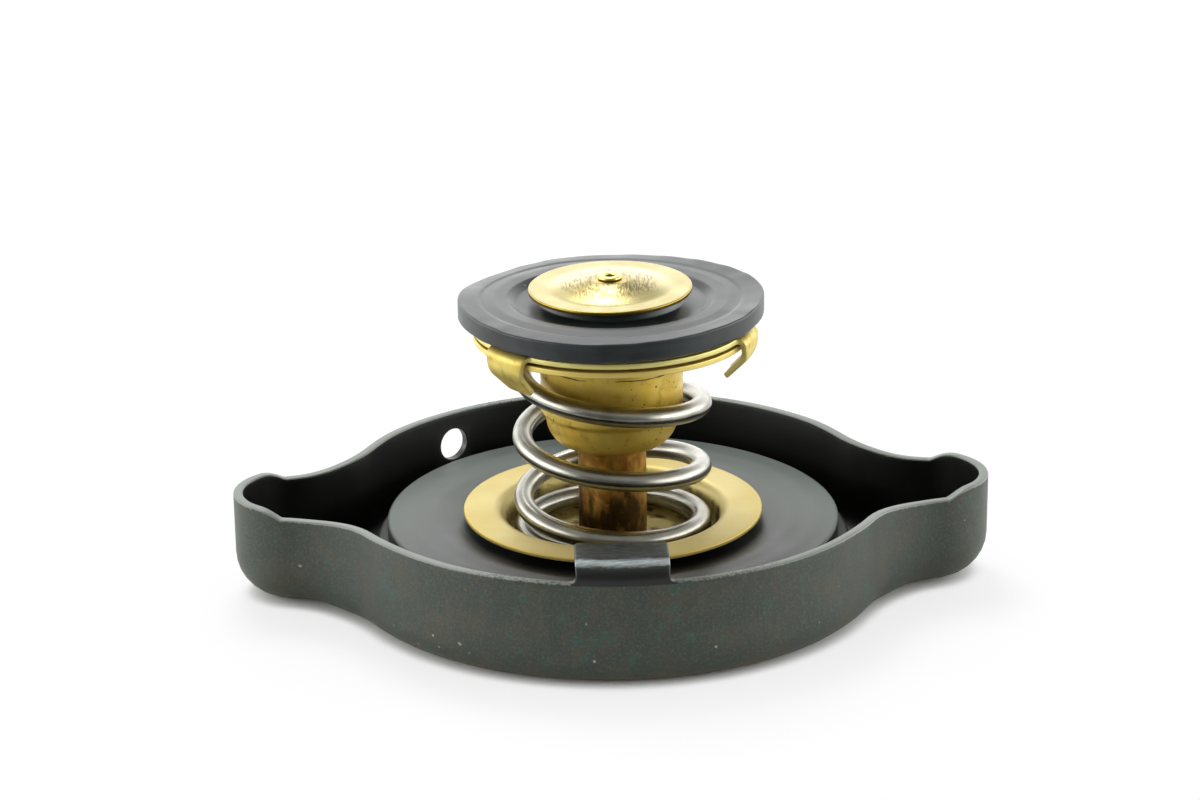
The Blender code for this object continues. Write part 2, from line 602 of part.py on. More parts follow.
def make_claw_plate(material, parent):
    """The plate under the seal, its claws bent round the bell's flange."""
    half_claw = CLAW_ROOT_WIDTH / 2 / (BELL_FLANGE_RADIUS + PLATE_SHEET + CLEARANCE)
    angles = []
    for claw in range(CLAWS):
        middle = CLAW_PHASE + claw * math.tau / CLAWS
        start, end = middle - half_claw, middle + half_claw
        following = start + math.tau / CLAWS
        angles += list(np.linspace(start, end, CLAW_COLUMNS, endpoint=False))
        angles += list(np.linspace(end, following, GAP_COLUMNS, endpoint=False))
    corners = ((PLATE_HOLE_RADIUS, 0.0), (BELL_FLANGE_RADIUS, 0.0),
               (BELL_FLANGE_RADIUS, PLATE_SHEET), (PLATE_HOLE_RADIUS, PLATE_SHEET))
    rings = [[polar(r, angle, z) for angle in angles] for r, z in corners]
    pitch = CLAW_COLUMNS + GAP_COLUMNS
    left_out = {(1, claw * pitch + column)
                for claw in range(CLAWS) for column in range(CLAW_COLUMNS)}
    bm = bmesh.new()
    verts = loft(bm, rings, left_out)
    for claw in range(CLAWS):
        span = slice(claw * pitch, claw * pitch + CLAW_COLUMNS + 1)
        rows = claw_rows(CLAW_PHASE + claw * math.tau / CLAWS)
        tongue(bm, verts[2][span], verts[1][span], rows)
    plate = add_object("claw_plate", bm, material, parent, (0.0, 0.0, PLATE_SEAT))
    cutter = bmesh.new()
    for hole in range(FLOW_HOLES):
        place = polar(FLOW_HOLE_CIRCLE, hole * math.tau / FLOW_HOLES, PLATE_SHEET / 2)
        bmesh.ops.create_cone(cutter, cap_ends=True, segments=TINY_ROUND,
                              radius1=FLOW_HOLE_RADIUS, radius2=FLOW_HOLE_RADIUS,
                              depth=4 * PLATE_SHEET, matrix=Matrix.Translation(place))
    cut(plate, add_object("flow_cutter", cutter, material, parent, (0.0, 0.0, PLATE_SEAT)))
    return plate


def make_pressure_seal(material, parent):
    """The rubber seal with the bead that carries the vacuum disc and a dish round it."""
    profile = rounded([
        (SEAL_HOLE_RADIUS, 0.0, 0.0),
        (SEAL_RADIUS - SEAL_EDGE_RUN, 0.0, 0.0),
        (SEAL_RADIUS, SEAL_EDGE_RELIEF, 0.0),
        (SEAL_RADIUS, SEAL_THICKNESS, SEAL_EDGE),
        (SEAL_DISH_RADIUS + SEAL_DISH_RUN, SEAL_THICKNESS, SEAL_EDGE),
        (SEAL_DISH_RADIUS, SEAL_THICKNESS - SEAL_DISH_DEPTH, 0.0),
        (SEAL_BEAD_RADIUS, SEAL_THICKNESS - SEAL_DISH_DEPTH, 0.0),
        (SEAL_BEAD_RADIUS - SEAL_BEAD_RUN, SEAL_THICKNESS + SEAL_BEAD_RISE, 0.0),
        (SEAL_HOLE_RADIUS, SEAL_THICKNESS + SEAL_BEAD_RISE, 0.0)], steps=1)
    return turned("pressure_seal", profile, LARGE_ROUND, material, parent, SEAL_SEAT)


def make_vacuum_disc(material, parent, height):
    """The vacuum disc: a flat rim and a low dome up to the rivet."""
    foot = DISC_RADIUS - DISC_FLAT
    crown = 2 * DISC_HOLE_RADIUS
    upper = [
        (DISC_HOLE_RADIUS, DISC_SHEET + DOME_RISE, 0.0),
        (crown, DISC_SHEET + DOME_RISE, DISC_HOLE_RADIUS),
        (foot, DISC_SHEET, 2 * DISC_FLAT),
        (DISC_RADIUS, DISC_SHEET, 0.0)]
    lower = [(r, z - DISC_SHEET, radius) for r, z, radius in reversed(upper)]
    profile = rounded(upper, closed=False) + rounded(lower, closed=False)
    return turned("vacuum_disc", profile, MEDIUM_ROUND, material, parent, height)


def make_vacuum_stem(material, parent, height):
    """The tubular rivet that joins the disc to the spring retainer."""
    length = STEM_TOP - STEM_FOOT
    profile = [
        (0.0, 0.0),
        (STEM_FOOT_RADIUS, 0.0),
        (STEM_FOOT_RADIUS, STEM_FOOT_HEIGHT),
        (STEM_RADIUS, STEM_FOOT_HEIGHT),
        (STEM_RADIUS, length - STEM_HEAD_HEIGHT),
        (STEM_HEAD_RADIUS, length - STEM_HEAD_HEIGHT),
        (STEM_HEAD_RADIUS, length - STEM_HEAD_HEIGHT / 2),
        ((STEM_HEAD_RADIUS + STEM_BORE_RADIUS) / 2, length),
        (STEM_BORE_RADIUS, length - STEM_HEAD_HEIGHT / 2),
        (STEM_BORE_RADIUS, length - STEM_BORE_DEPTH),
        (0.0, length - STEM_BORE_DEPTH)]
    return turned("vacuum_stem", profile, TINY_ROUND, material, parent, height)


def make_retainer(material, parent, height):
    """The washer that the vacuum spring pushes on."""
    profile = [(DISC_HOLE_RADIUS, 0.0), (RETAINER_RADIUS, 0.0),
               (RETAINER_RADIUS, RETAINER_SHEET), (DISC_HOLE_RADIUS, RETAINER_SHEET)]
    return turned("spring_retainer", profile, SMALL_ROUND, material, parent, height)


def pitch_share(share, ease_top, ease_bottom):
    """Fallen share of a coil's height at a share of its turns, easing at both ends."""
    steepest = 1 / (1 - ease_top / 2 - ease_bottom / 2)
    if share < ease_top:
        return steepest * share ** 2 / (2 * ease_top)
    if share > 1 - ease_bottom:
        return 1 - steepest * (1 - share) ** 2 / (2 * ease_bottom)
    return steepest * (share - ease_top / 2)


def make_coil(name, material, parent, wire, radius, heights, turns, dead_turns, phase,
              eases, per_turn):
    """A spring wound left-handed downward, with a dead coil at each end."""
    top, bottom = heights
    count = round((turns + 2 * dead_turns) * per_turn)
    curve = bpy.data.curves.new(name, 'CURVE')
    curve.dimensions = '3D'
    curve.bevel_depth = wire / 2
    curve.bevel_resolution = 2
    curve.use_fill_caps = True
    spline = curve.splines.new('POLY')
    spline.points.add(count)
    for index in range(count + 1):
        turned_by = index / count * (turns + 2 * dead_turns) - dead_turns
        share = min(max(turned_by / turns, 0.0), 1.0)
        height = top + (bottom - top) * pitch_share(share, *eases)
        spline.points[index].co = (*polar(radius, phase + turned_by * math.tau, height), 1.0)
    curve.materials.append(material)
    item = bpy.data.objects.new(name, curve)
    item.parent = parent
    bpy.context.scene.collection.objects.link(item)
    return item


def clear_scene():
    """Remove what the file opened with."""
    for item in list(bpy.data.objects):
        bpy.data.objects.remove(item, do_unlink=True)


def main():
    """Build the cap from the shell upward."""
    clear_scene()
    painted = finish("black_painted_steel", 0.045, 0.052, 0.050, 0.0, 0.42)
    rubber = finish("black_rubber", 0.040, 0.046, 0.048, 0.0, 0.65)
    bright = finish("bright_brass", 0.80, 0.60, 0.24, 1.0, 0.32)
    dull = finish("dull_brass", 0.50, 0.38, 0.10, 1.0, 0.42)
    aged = finish("aged_brass", 0.32, 0.20, 0.07, 1.0, 0.55)
    spring_steel = finish("spring_steel", 0.52, 0.50, 0.44, 1.0, 0.35)
    zinc = finish("zinc_plated_steel", 0.45, 0.46, 0.46, 1.0, 0.40)

    make_shell(painted)

    core = add_axis("swivel_axis", 0.0)
    make_rivet_washer(zinc, core)
    make_gasket(rubber, core)
    make_spring_cup(bright, core)
    make_post(aged, core)
    wire_room = MAIN_WIRE / 2 + CLEARANCE
    make_coil("main_spring", spring_steel, core, MAIN_WIRE, MAIN_COIL_RADIUS,
              (FLANGE_UNDERSIDE - wire_room, CUP_FLOOR_TOP + wire_room),
              MAIN_TURNS, MAIN_DEAD_TURNS, MAIN_PHASE, (MAIN_EASE_TOP, MAIN_EASE_BOTTOM),
              MAIN_STEPS_PER_TURN)

    valve = add_axis("pressure_valve_axis", 0.0, core)
    make_bell(dull, valve)
    make_claw_plate(bright, valve)
    make_pressure_seal(rubber, valve)
    seat = VACUUM_WIRE / 2 + CLEARANCE
    make_coil("vacuum_spring", spring_steel, valve, VACUUM_WIRE, VACUUM_COIL_RADIUS,
              (PLATE_SEAT - seat, RETAINER_SEAT + RETAINER_SHEET + seat),
              VACUUM_TURNS, VACUUM_DEAD_TURNS, 0.0, (VACUUM_EASE, VACUUM_EASE),
              VACUUM_STEPS_PER_TURN)

    pivot = PLATE_SEAT + PLATE_SHEET / 2
    vacuum = add_axis("vacuum_valve_axis", pivot, valve)
    low_side = Vector(polar(1.0, DISC_LOW_SIDE, 0.0))
    lean_axis = Vector((0.0, 0.0, 1.0)).cross(low_side)
    vacuum.rotation_mode = 'QUATERNION'
    vacuum.rotation_quaternion = Matrix.Rotation(DISC_LEAN, 3, lean_axis).to_quaternion()
    make_vacuum_disc(bright, vacuum, DISC_SEAT - pivot)
    make_vacuum_stem(bright, vacuum, STEM_FOOT - pivot)
    make_retainer(dull, vacuum, RETAINER_SEAT - pivot)


if __name__ == "__main__":
    main()
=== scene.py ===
"""The looks of a radiator cap that lies upside down on its outer face.

Every piece is a fine surface that stands for the solid of the same name: the stove
painted shell, the rubber gasket and seal, the brass cup, post, bell, claw plate and
vacuum valve, and the two springs.  Lengths are millimetres until a mesh is made.
"""
from __future__ import annotations

import logging
import math
from dataclasses import dataclass, field
from enum import Enum
from typing import Callable, Mapping, Sequence

import bmesh
import bpy
import numpy as np
from mathutils import Matrix, Vector

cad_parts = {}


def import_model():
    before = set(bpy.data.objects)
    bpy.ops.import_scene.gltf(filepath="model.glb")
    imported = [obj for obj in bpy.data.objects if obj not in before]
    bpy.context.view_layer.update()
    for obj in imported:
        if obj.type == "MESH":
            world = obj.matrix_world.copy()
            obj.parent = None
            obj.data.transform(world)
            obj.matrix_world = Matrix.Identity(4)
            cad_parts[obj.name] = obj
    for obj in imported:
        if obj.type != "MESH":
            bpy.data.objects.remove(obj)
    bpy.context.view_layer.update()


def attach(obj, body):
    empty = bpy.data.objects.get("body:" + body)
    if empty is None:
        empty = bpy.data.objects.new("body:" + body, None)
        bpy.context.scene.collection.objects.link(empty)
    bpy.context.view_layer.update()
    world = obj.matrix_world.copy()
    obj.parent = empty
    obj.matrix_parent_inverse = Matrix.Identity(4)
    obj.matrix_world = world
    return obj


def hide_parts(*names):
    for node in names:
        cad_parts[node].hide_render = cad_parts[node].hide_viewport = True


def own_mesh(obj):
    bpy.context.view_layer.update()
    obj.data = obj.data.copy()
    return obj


LOG = logging.getLogger("radiator_cap")
MM = 0.001
TAU = math.tau

Grid = np.ndarray
Pair = tuple[Grid, Grid]
Marks = Mapping[str, Grid]
Inputs = Mapping[str, object] | Sequence[object]
Socket = bpy.types.NodeSocket
Layers = list[tuple[Socket, object]]
Laid = tuple[Layers, dict[str, object]]


class Body(str, Enum):
    """The moving bodies that the pieces ride on."""

    SHELL = "shell"
    CORE = "core"
    PRESSURE_VALVE = "pressure_valve"
    VACUUM_VALVE = "vacuum_valve"


class Winding(Enum):
    """Which way a coil turns as it goes down, seen from above."""

    LEFT_HAND = 1.0
    RIGHT_HAND = -1.0


@dataclass(frozen=True)
class Stack:
    """Heights above the table of the seats in the stack, and the axis of the lean."""

    gasket: float = 5.6
    cup_floor: float = 4.7
    washer: float = 1.85
    post_shoulder: float = 5.0
    head_underside: float = 15.2
    post_top: float = 16.5976
    bell: float = 15.35
    flange_underside: float = 27.2307
    plate: float = 28.1307
    seal: float = 29.0307
    disc: float = 32.1507
    stem_foot: float = 23.3976
    retainer: float = 24.0976
    stem_top: float = 33.7507
    plateau_top: float = 5.3
    lean: float = math.radians(1.75)
    low_side: float = math.radians(-125)

    def tilt(self, points: Grid) -> Grid:
        """Lean points with the vacuum valve about the middle of the claw plate.

        Args:
            points: Places in mm, one a row.

        Returns:
            Each place turned by the lean about the level axis square to the low side.
        """
        pivot = np.array([0.0, 0.0, self.plate + 0.3])
        low = Vector((math.cos(self.low_side), math.sin(self.low_side), 0.0))
        turn = Matrix.Rotation(self.lean, 3, Vector((0.0, 0.0, 1.0)).cross(low))
        return (points - pivot) @ np.array(turn).T + pivot


def srgb(code: str) -> tuple[float, float, float, float]:
    """Linear colour of a hex code.

    Args:
        code: Six hex digits after a hash sign.

    Returns:
        Red, green, blue and an alpha of 1, linear.
    """
    parts = np.array([int(code[i:i + 2], 16) for i in (1, 3, 5)]) / 255
    linear = np.where(parts <= 0.04045, parts / 12.92, ((parts + 0.055) / 1.055) ** 2.4)
    return (float(linear[0]), float(linear[1]), float(linear[2]), 1.0)


def per(size_mm: float) -> float:
    """Scale of a texture on Object coordinates whose features are size_mm wide."""
    return 1.0 / (size_mm * MM)


class Graph:
    """The nodes of one shader."""

    def __init__(self, tree: bpy.types.NodeTree) -> None:
        """Take the tree of a material or a world."""
        self.nodes, self.links = tree.nodes, tree.links

    def add(self, kind: str, inputs: Inputs = (), out: str | int = 0,
            **settings: object) -> Socket:
        """Add a node, set its options and fill its sockets with values or links.

        Args:
            kind: Type name of the node, without ShaderNode.
            inputs: Values or sockets, by name or in the order of the node's sockets.
                Of a MapRange they are the value, the two ends of the range that it
                comes from and the two ends of the range that it goes to.
            out: Name or number of the output wanted.
            **settings: Options of the node.

        Returns:
            The output socket that was asked for.
        """
        node = self.nodes.new("ShaderNode" + kind)
        for option, value in settings.items():
            setattr(node, option, value)
        self.fill(node, inputs)
        return node.outputs[out]

    def fill(self, node: bpy.types.Node, inputs: Inputs) -> None:
        """Set or link the inputs of a node, given by name or in their order.

        Args:
            node: The node.
            inputs: Values or sockets, by name or in the node's order.
        """
        for key, value in (inputs.items() if isinstance(inputs, dict) else enumerate(inputs)):
            if isinstance(value, Socket):
                self.links.new(value, node.inputs[key])
            else:
                node.inputs[key].default_value = value

    def specks(self, place: Socket, cell: float, cloud: float, span: tuple[float, float],
               reach: float, soft: float, most: float = 1.0, detail: float = 0.0) -> Socket:
        """Round spots in the middle of some cells, drawn no coarser than they are.

        Args:
            place: Object coordinates.
            cell: Width of a cell in mm.
            cloud: Width in mm of the clouds in which the spots gather.
            span: Density of a cloud where the spots begin and where they are largest.
            reach: Radius of the largest spot, as a share of the cell.
            soft: Width of a spot's border, as a share of the cell.
            most: Value in the middle of a spot.
            detail: Detail of the clouds.

        Returns:
            The spots' share of the surface.
        """
        cells = self.add("TexVoronoi", {"Vector": place, "Scale": per(cell)})
        some = self.add("TexNoise", {"Vector": place, "Scale": per(cloud), "Detail": detail})
        near = self.add("MapRange", (some, *span, 0.0, reach))
        near = self.add("Math", (near, cells), operation="SUBTRACT")
        return self.add("MapRange", (near, 0.0, soft, 0.0, most))


@dataclass(frozen=True)
class Finish:
    """A surface: a ground colour, the layers over it and how it shines."""

    colour: str = "#808080"

    def lay(self, g: Graph, place: Socket) -> Laid:
        """Add the nodes.

        Args:
            g: The graph of the material.
            place: Object coordinates.

        Returns:
            The share and colour of each layer from the ground up, and the other inputs
            of the Principled shader.
        """
        raise NotImplementedError

    def make(self, name: str) -> bpy.types.Material:
        """Build the material.

        Args:
            name: Name of the material, for what the real one is.

        Returns:
            The finished material.
        """
        material = bpy.data.materials.new(name)
        material.use_nodes = True
        g = Graph(material.node_tree)
        layers, inputs = self.lay(g, g.add("TexCoord", out="Object"))
        skin = srgb(self.colour)
        for share, over in layers:
            over = srgb(over) if isinstance(over, str) else over
            skin = g.add("MixRGB", {"Fac": share, "Color1": skin, "Color2": over})
        g.fill(g.nodes["Principled BSDF"], {"Base Color": skin, **inputs})
        return material


@dataclass(frozen=True)
class StovePaint(Finish):
    """Black stove enamel on pressed steel: chalky grey outside, and painted shade black
    inside.
    """

    colour: str = "#2C342C"
    cool: str = "#1F463C"
    warm: str = "#413C2B"
    streak: str = "#454A44"
    grain: str = "#5C6257"
    greased: str = "#12181A"
    foot: str = "#4C3D22"
    painted_inner_shade: str = "#060706"
    bare: str = "#7E847D"
    scuffed: str = "#4A575C"
    polished_and_highlight: str = "#C4CED0"
    dust: str = "#A3A79C"
    rust: str = "#60471C"
    roughness: float = 0.45

    def lay(self, g: Graph, place: Socket) -> Laid:
        """Add the paint's nodes, which read the marks rim, tab, crest and inside.

        Args:
            g: The graph of the material.
            place: Object coordinates.

        Returns:
            The layers and the shader's other inputs, as Finish says.
        """
        inside, tab, crest, rim = (
            g.add("Attribute", attribute_name=mark, out="Fac")
            for mark in ("inside", "tab", "crest", "rim"))
        # chalked enamel: brown mottling of 1 to 4 mm and verdigris patches of 2 mm
        cloud = g.add("TexNoise", {"Vector": place, "Scale": per(4), "Detail": 8.0,
                                   "Roughness": 0.68, "Distortion": 0.3})
        warm = g.add("MapRange", (cloud, 0.44, 0.66, 0.0, 0.85))
        patch = g.add("TexNoise", {"Vector": place, "Scale": per(2.0), "Detail": 4.0})
        cool = g.add("MapRange", (patch, 0.58, 0.7, 0.0, 0.8))
        # draw marks of the press tool, 0.3 mm apart and some 3 mm tall
        tall = g.add("Mapping", {"Vector": place, "Scale": (1.0, 1.0, 0.1)})
        draw = g.add("TexNoise", {"Vector": tall, "Scale": per(0.3), "Detail": 3.0})
        streak = g.add("MapRange", (draw, 0.35, 0.75, 0.0, 0.18))
        # the chalky surface itself, a grain of 0.25 mm
        chalk = g.add("TexNoise", {"Vector": place, "Scale": per(0.25), "Detail": 3.0,
                                   "Roughness": 0.7})
        pale = g.add("MapRange", (chalk, 0.48, 0.7, 0.0, 0.38))
        # rust specks and dust grains, 0.1 to 0.3 mm
        grain = g.specks(place, 1.5, 2.2, (0.44, 0.72), 0.17, 0.05, 0.75, 1.0)
        kind = g.add("TexNoise", {"Vector": place, "Scale": per(1.7), "Detail": 0.0})
        kind = g.add("MapRange", (kind, 0.5, 0.54))
        chip = g.add("MixRGB", (kind, srgb(self.dust), srgb(self.rust)))
        # painted contact shadow: a brown band along the foot, 1 mm high, where the shell meets
        # the table
        height = g.add("SeparateXYZ", (place,), out="Z")
        level = g.add("Math", (cloud, -0.0016, height), operation="MULTIPLY_ADD")
        soil_and_shade = g.add("MapRange", (level, 0.0006, -0.0004, 0.0, 0.75))
        # the tabs are greased and scuffed by the filler neck's cams, in strokes of
        # 0.2 by 1.2 mm
        askew = g.add("Mapping", {"Vector": place, "Rotation": (0.0, 0.0, 0.9),
                                  "Scale": (0.16, 1.0, 1.0)})
        stroke = g.add("TexNoise", {"Vector": askew, "Scale": per(0.22), "Detail": 5.0,
                                    "Roughness": 0.7})
        scuff = g.add("MapRange", (stroke, 0.44, 0.66))
        scuff = g.add("Math", (scuff, tab), operation="MULTIPLY")
        # over their bend the cams have polished the steel bare, more in streaks; the pale band
        # there is partly a painted highlight
        worn = g.add("Math", (stroke, 1.3, crest), operation="MULTIPLY_ADD")
        worn = g.add("MapRange", (worn, 1.1, 1.8, 0.0, 0.95))
        # the flat of the sheet's edge is rubbed to grey metal, with a ragged border
        ragged = g.add("TexNoise", {"Vector": place, "Scale": per(0.25), "Detail": 4.0})
        border = g.add("Math", (ragged, 0.8, rim), operation="MULTIPLY_ADD")
        rubbed = g.add("MapRange", (border, 0.78, 0.98, 0.0, 0.9))
        metal = g.add("Math", (rubbed, 0.35), operation="MULTIPLY")
        metal = g.add("Math", (worn, 0.5, metal), operation="MULTIPLY_ADD")
        # painted shade: the mark inside paints the inner wall, the vent's bore and the tabs'
        # upright roots near black, and makes them smoother
        gloss = g.add("MapRange", (cloud, 0.0, 1.0, self.roughness - 0.06,
                                   self.roughness + 0.08))
        gloss = g.add("Math", (inside, -0.08, gloss), operation="MULTIPLY_ADD")
        # orange peel of the sprayed enamel, 0.45 mm
        peel = g.add("TexNoise", {"Vector": place, "Scale": per(0.45), "Detail": 2.0})
        relief = g.add("Math", (chalk, 0.8, peel), operation="MULTIPLY_ADD")
        relief = g.add("Math", (scuff, -1.2, relief), operation="MULTIPLY_ADD")
        bump = g.add("Bump", {"Height": relief, "Strength": 0.4, "Distance": 2e-5})
        layers = [(warm, self.warm), (cool, self.cool), (streak, self.streak),
                  (pale, self.grain), (grain, chip), (soil_and_shade, self.foot), (inside, self.painted_inner_shade),
                  (tab, self.greased), (scuff, self.scuffed), (worn, self.polished_and_highlight),
                  (rubbed, self.bare)]
        return layers, {"Metallic": metal, "Roughness": gloss, "Normal": bump}


@dataclass(frozen=True)
class MouldedRubber(Finish):
    """Black nitrile rubber, moulded and a little chalky: a soft sheen with faint rings."""

    colour: str = "#15191A"
    bloom: str = "#323A3A"
    dust: str = "#93A398"
    painted_shade_black: str = "#050606"
    roughness: float = 0.32
    ring: float = 0.55
    ring_depth: float = 2.0
    bloom_share: float = 0.5
    painted_back_sheen: float = 0.0

    def lay(self, g: Graph, place: Socket) -> Laid:
        """Add the rubber's nodes, which read the mark lathe and, with painted_back_sheen set,
        flange_shade.

        Args:
            g: The graph of the material.
            place: Object coordinates.

        Returns:
            The layers and the shader's other inputs, as Finish says.
        """
        lathe = g.add("Attribute", attribute_name="lathe", out="Vector")
        # mould rings, ring mm apart and 15 mm long
        along = g.add("Mapping", {"Vector": lathe, "Scale": (1 / 15, 1 / 15, 1 / self.ring)})
        rings = g.add("TexNoise", {"Vector": along, "Scale": 1.0, "Detail": 3.0,
                                   "Roughness": 0.6})
        # bloom of wax in clouds of 5 mm, thinner where it was wiped
        cloud = g.add("TexNoise", {"Vector": place, "Scale": per(5), "Detail": 5.0,
                                   "Distortion": 0.4})
        cloud = g.add("Math", (rings, 0.4, cloud), operation="MULTIPLY_ADD")
        layers = [(g.add("MapRange", (cloud, 0.5, 1.0, 0.0, self.bloom_share)), self.bloom)]
        if self.painted_back_sheen:
            # painted sheen: a pale film of the dust colour lightens the rubber towards the
            # back
            depth = g.add("SeparateXYZ", (place,), out="Y")
            depth = g.add("Math", (cloud, 0.012, depth), operation="MULTIPLY_ADD")
            layers.append((g.add("MapRange", (depth, -0.006, 0.01, 0.0, self.painted_back_sheen)),
                           self.dust))
            # painted shade: beside the flange, and more so in front, the rubber is painted
            # near black
            flange_shade = g.add("Attribute", attribute_name="flange_shade", out="Fac")
            front = g.add("MapRange", (depth, 0.012, -0.006, 0.25, 1.0))
            flange_shade = g.add("Math", (flange_shade, front), operation="MULTIPLY")
            layers.append((flange_shade, self.painted_shade_black))
        # a few grains of dust, 0.15 mm
        grain = g.specks(place, 2.1, 2.7, (0.55, 0.8), 0.09, 0.02, 0.7)
        gloss = g.add("MapRange", (cloud, 0.4, 1.0, self.roughness - 0.05,
                                   self.roughness + 0.1))
        fine = g.add("TexNoise", {"Vector": place, "Scale": per(0.3), "Detail": 3.0})
        relief = g.add("Math", (rings, self.ring_depth, fine), operation="MULTIPLY_ADD")
        bump = g.add("Bump", {"Height": relief, "Strength": 0.35, "Distance": 2e-5})
        return layers + [(grain, self.dust)], {"Roughness": gloss, "IOR": 1.52,
                                               "Normal": bump}


@dataclass(frozen=True)
class Brass(Finish):
    """Yellow brass sheet or bar: its tone, its tarnish and the marks of its making."""

    colour: str = "#E3CF86"
    shade: str = "#C9A548"
    stain: str = "#2B2210"
    edge: str = "#F2DC8E"
    dark_red_line: str = "#2A0C08"
    roughness: float = 0.3
    tone: float = 7.0
    stain_size: float = 2.4
    stain_from: float = 0.66
    stain_to: float = 0.82
    soil_and_shade_gain: float = 0.0
    ring: float = 0.22
    ring_depth: float = 0.3
    pore: float = 0.0
    pore_reach: float = 0.1
    hatch: float = 0.0
    dark_line_height: float = 0.0
    oxide: float = 0.0

    def lay(self, g: Graph, place: Socket) -> Laid:
        """Add the brass's nodes, which read the marks lathe, edge, soil_and_shade and slope.

        Args:
            g: The graph of the material.
            place: Object coordinates.

        Returns:
            The layers and the shader's other inputs, as Finish says.
        """
        edge, soil_and_shade = (g.add("Attribute", attribute_name=mark, out="Fac")
                      for mark in ("edge", "soil_and_shade"))
        lathe = g.add("Attribute", attribute_name="lathe", out="Vector")
        # the tarnish that gives old brass a browner tone here and there
        drift = g.add("TexNoise", {"Vector": place, "Scale": per(self.tone), "Detail": 4.0})
        layers = [(g.add("MapRange", (drift, 0.35, 0.68)), self.shade)]
        # turning and drawing rings, ring mm apart and 12 mm long
        along = g.add("Mapping", {"Vector": lathe, "Scale": (1 / 12, 1 / 12, 1 / self.ring)})
        rings = g.add("TexNoise", {"Vector": along, "Scale": 1.0, "Detail": 2.0})
        relief = g.add("Math", (rings, self.ring_depth), operation="MULTIPLY")
        if self.hatch:
            # filing strokes, hatch mm wide and 1.6 mm long, crossing at 15 degrees, on
            # the near slope of the dome
            strokes = []
            for turn in (0.2, -0.06):
                laid = g.add("Mapping", {"Vector": place, "Rotation": (0, 0, turn),
                                         "Scale": (1.0, self.hatch / 1.6, 1.0)})
                strokes.append(g.add("TexNoise", {"Vector": laid, "Scale": per(self.hatch),
                                                  "Detail": 1.0}))
            both = g.add("Math", strokes, operation="MINIMUM")
            dark = g.add("MapRange", (both, 0.5, 0.36, 0.0, 0.8))
            where = g.add("TexNoise", {"Vector": place, "Scale": per(3.0), "Detail": 2.0})
            slope = g.add("Attribute", attribute_name="slope", out="Fac")
            where = g.add("Math", (where, slope), operation="ADD")
            where = g.add("MapRange", (where, 0.8, 1.25))
            layers.append((g.add("Math", (dark, where), operation="MULTIPLY"), self.stain))
            relief = g.add("Math", (both, 1.2, relief), operation="MULTIPLY_ADD")
        # stains, more of them where the mark soil_and_shade lies: soil on the cup's floor,
        # painted shade in the rivet's bore
        spots = g.add("TexNoise", {"Vector": place, "Scale": per(self.stain_size),
                                   "Detail": 7.0, "Roughness": 0.62})
        spots = g.add("Math", (soil_and_shade, self.soil_and_shade_gain, spots), operation="MULTIPLY_ADD")
        spots = g.add("MapRange", (spots, self.stain_from, self.stain_to, 0.0, 0.93))
        layers.append((spots, self.stain))
        if self.pore:
            # casting and drawing pores, a tenth of a millimetre deep and dark
            pore = g.specks(place, self.pore, 3.5, (0.44, 0.7), self.pore_reach, 0.03, 0.85)
            layers.append((pore, self.stain))
            relief = g.add("Math", (pore, -3.0, relief), operation="MULTIPLY_ADD")
        if self.dark_line_height:
            # a thin dark red line round the bell below the flange, 0.12 mm high, broken here
            # and there
            height = g.add("SeparateXYZ", (place,), out="Z")
            wavy = g.add("TexNoise", {"Vector": place, "Scale": per(2.2), "Detail": 3.0})
            level = g.add("Math", (wavy, 0.0004, height), operation="MULTIPLY_ADD")
            off = g.add("Math", (level, self.dark_line_height * MM + 0.0002),
                        operation="SUBTRACT")
            off = g.add("Math", (off,), operation="ABSOLUTE")
            line = g.add("MapRange", (off, 0.0001, 0.00003))
            part = g.add("TexNoise", {"Vector": place, "Scale": per(3.5), "Detail": 3.0})
            part = g.add("MapRange", (part, 0.42, 0.54))
            layers.append((g.add("Math", (line, part), operation="MULTIPLY"), self.dark_red_line))
        gloss = g.add("MapRange", (drift, 0.0, 1.0, self.roughness - 0.05,
                                   self.roughness + 0.08))
        gloss = g.add("Math", (spots, 0.28, gloss), operation="MULTIPLY_ADD")
        bump = g.add("Bump", {"Height": relief, "Strength": 0.4, "Distance": 2e-5})
        # painted highlight and shade: the mark edge gives the outer edges a colour of their
        # own, paler than the face on the bell and the claw plate, a deeper gold on the cup and
        # darker on the vacuum disc
        # the dull oxide that has grown over old brass scatters its share of the light
        return layers + [(edge, self.edge)], {"Metallic": 1.0 - self.oxide,
                                              "Roughness": gloss, "Normal": bump}


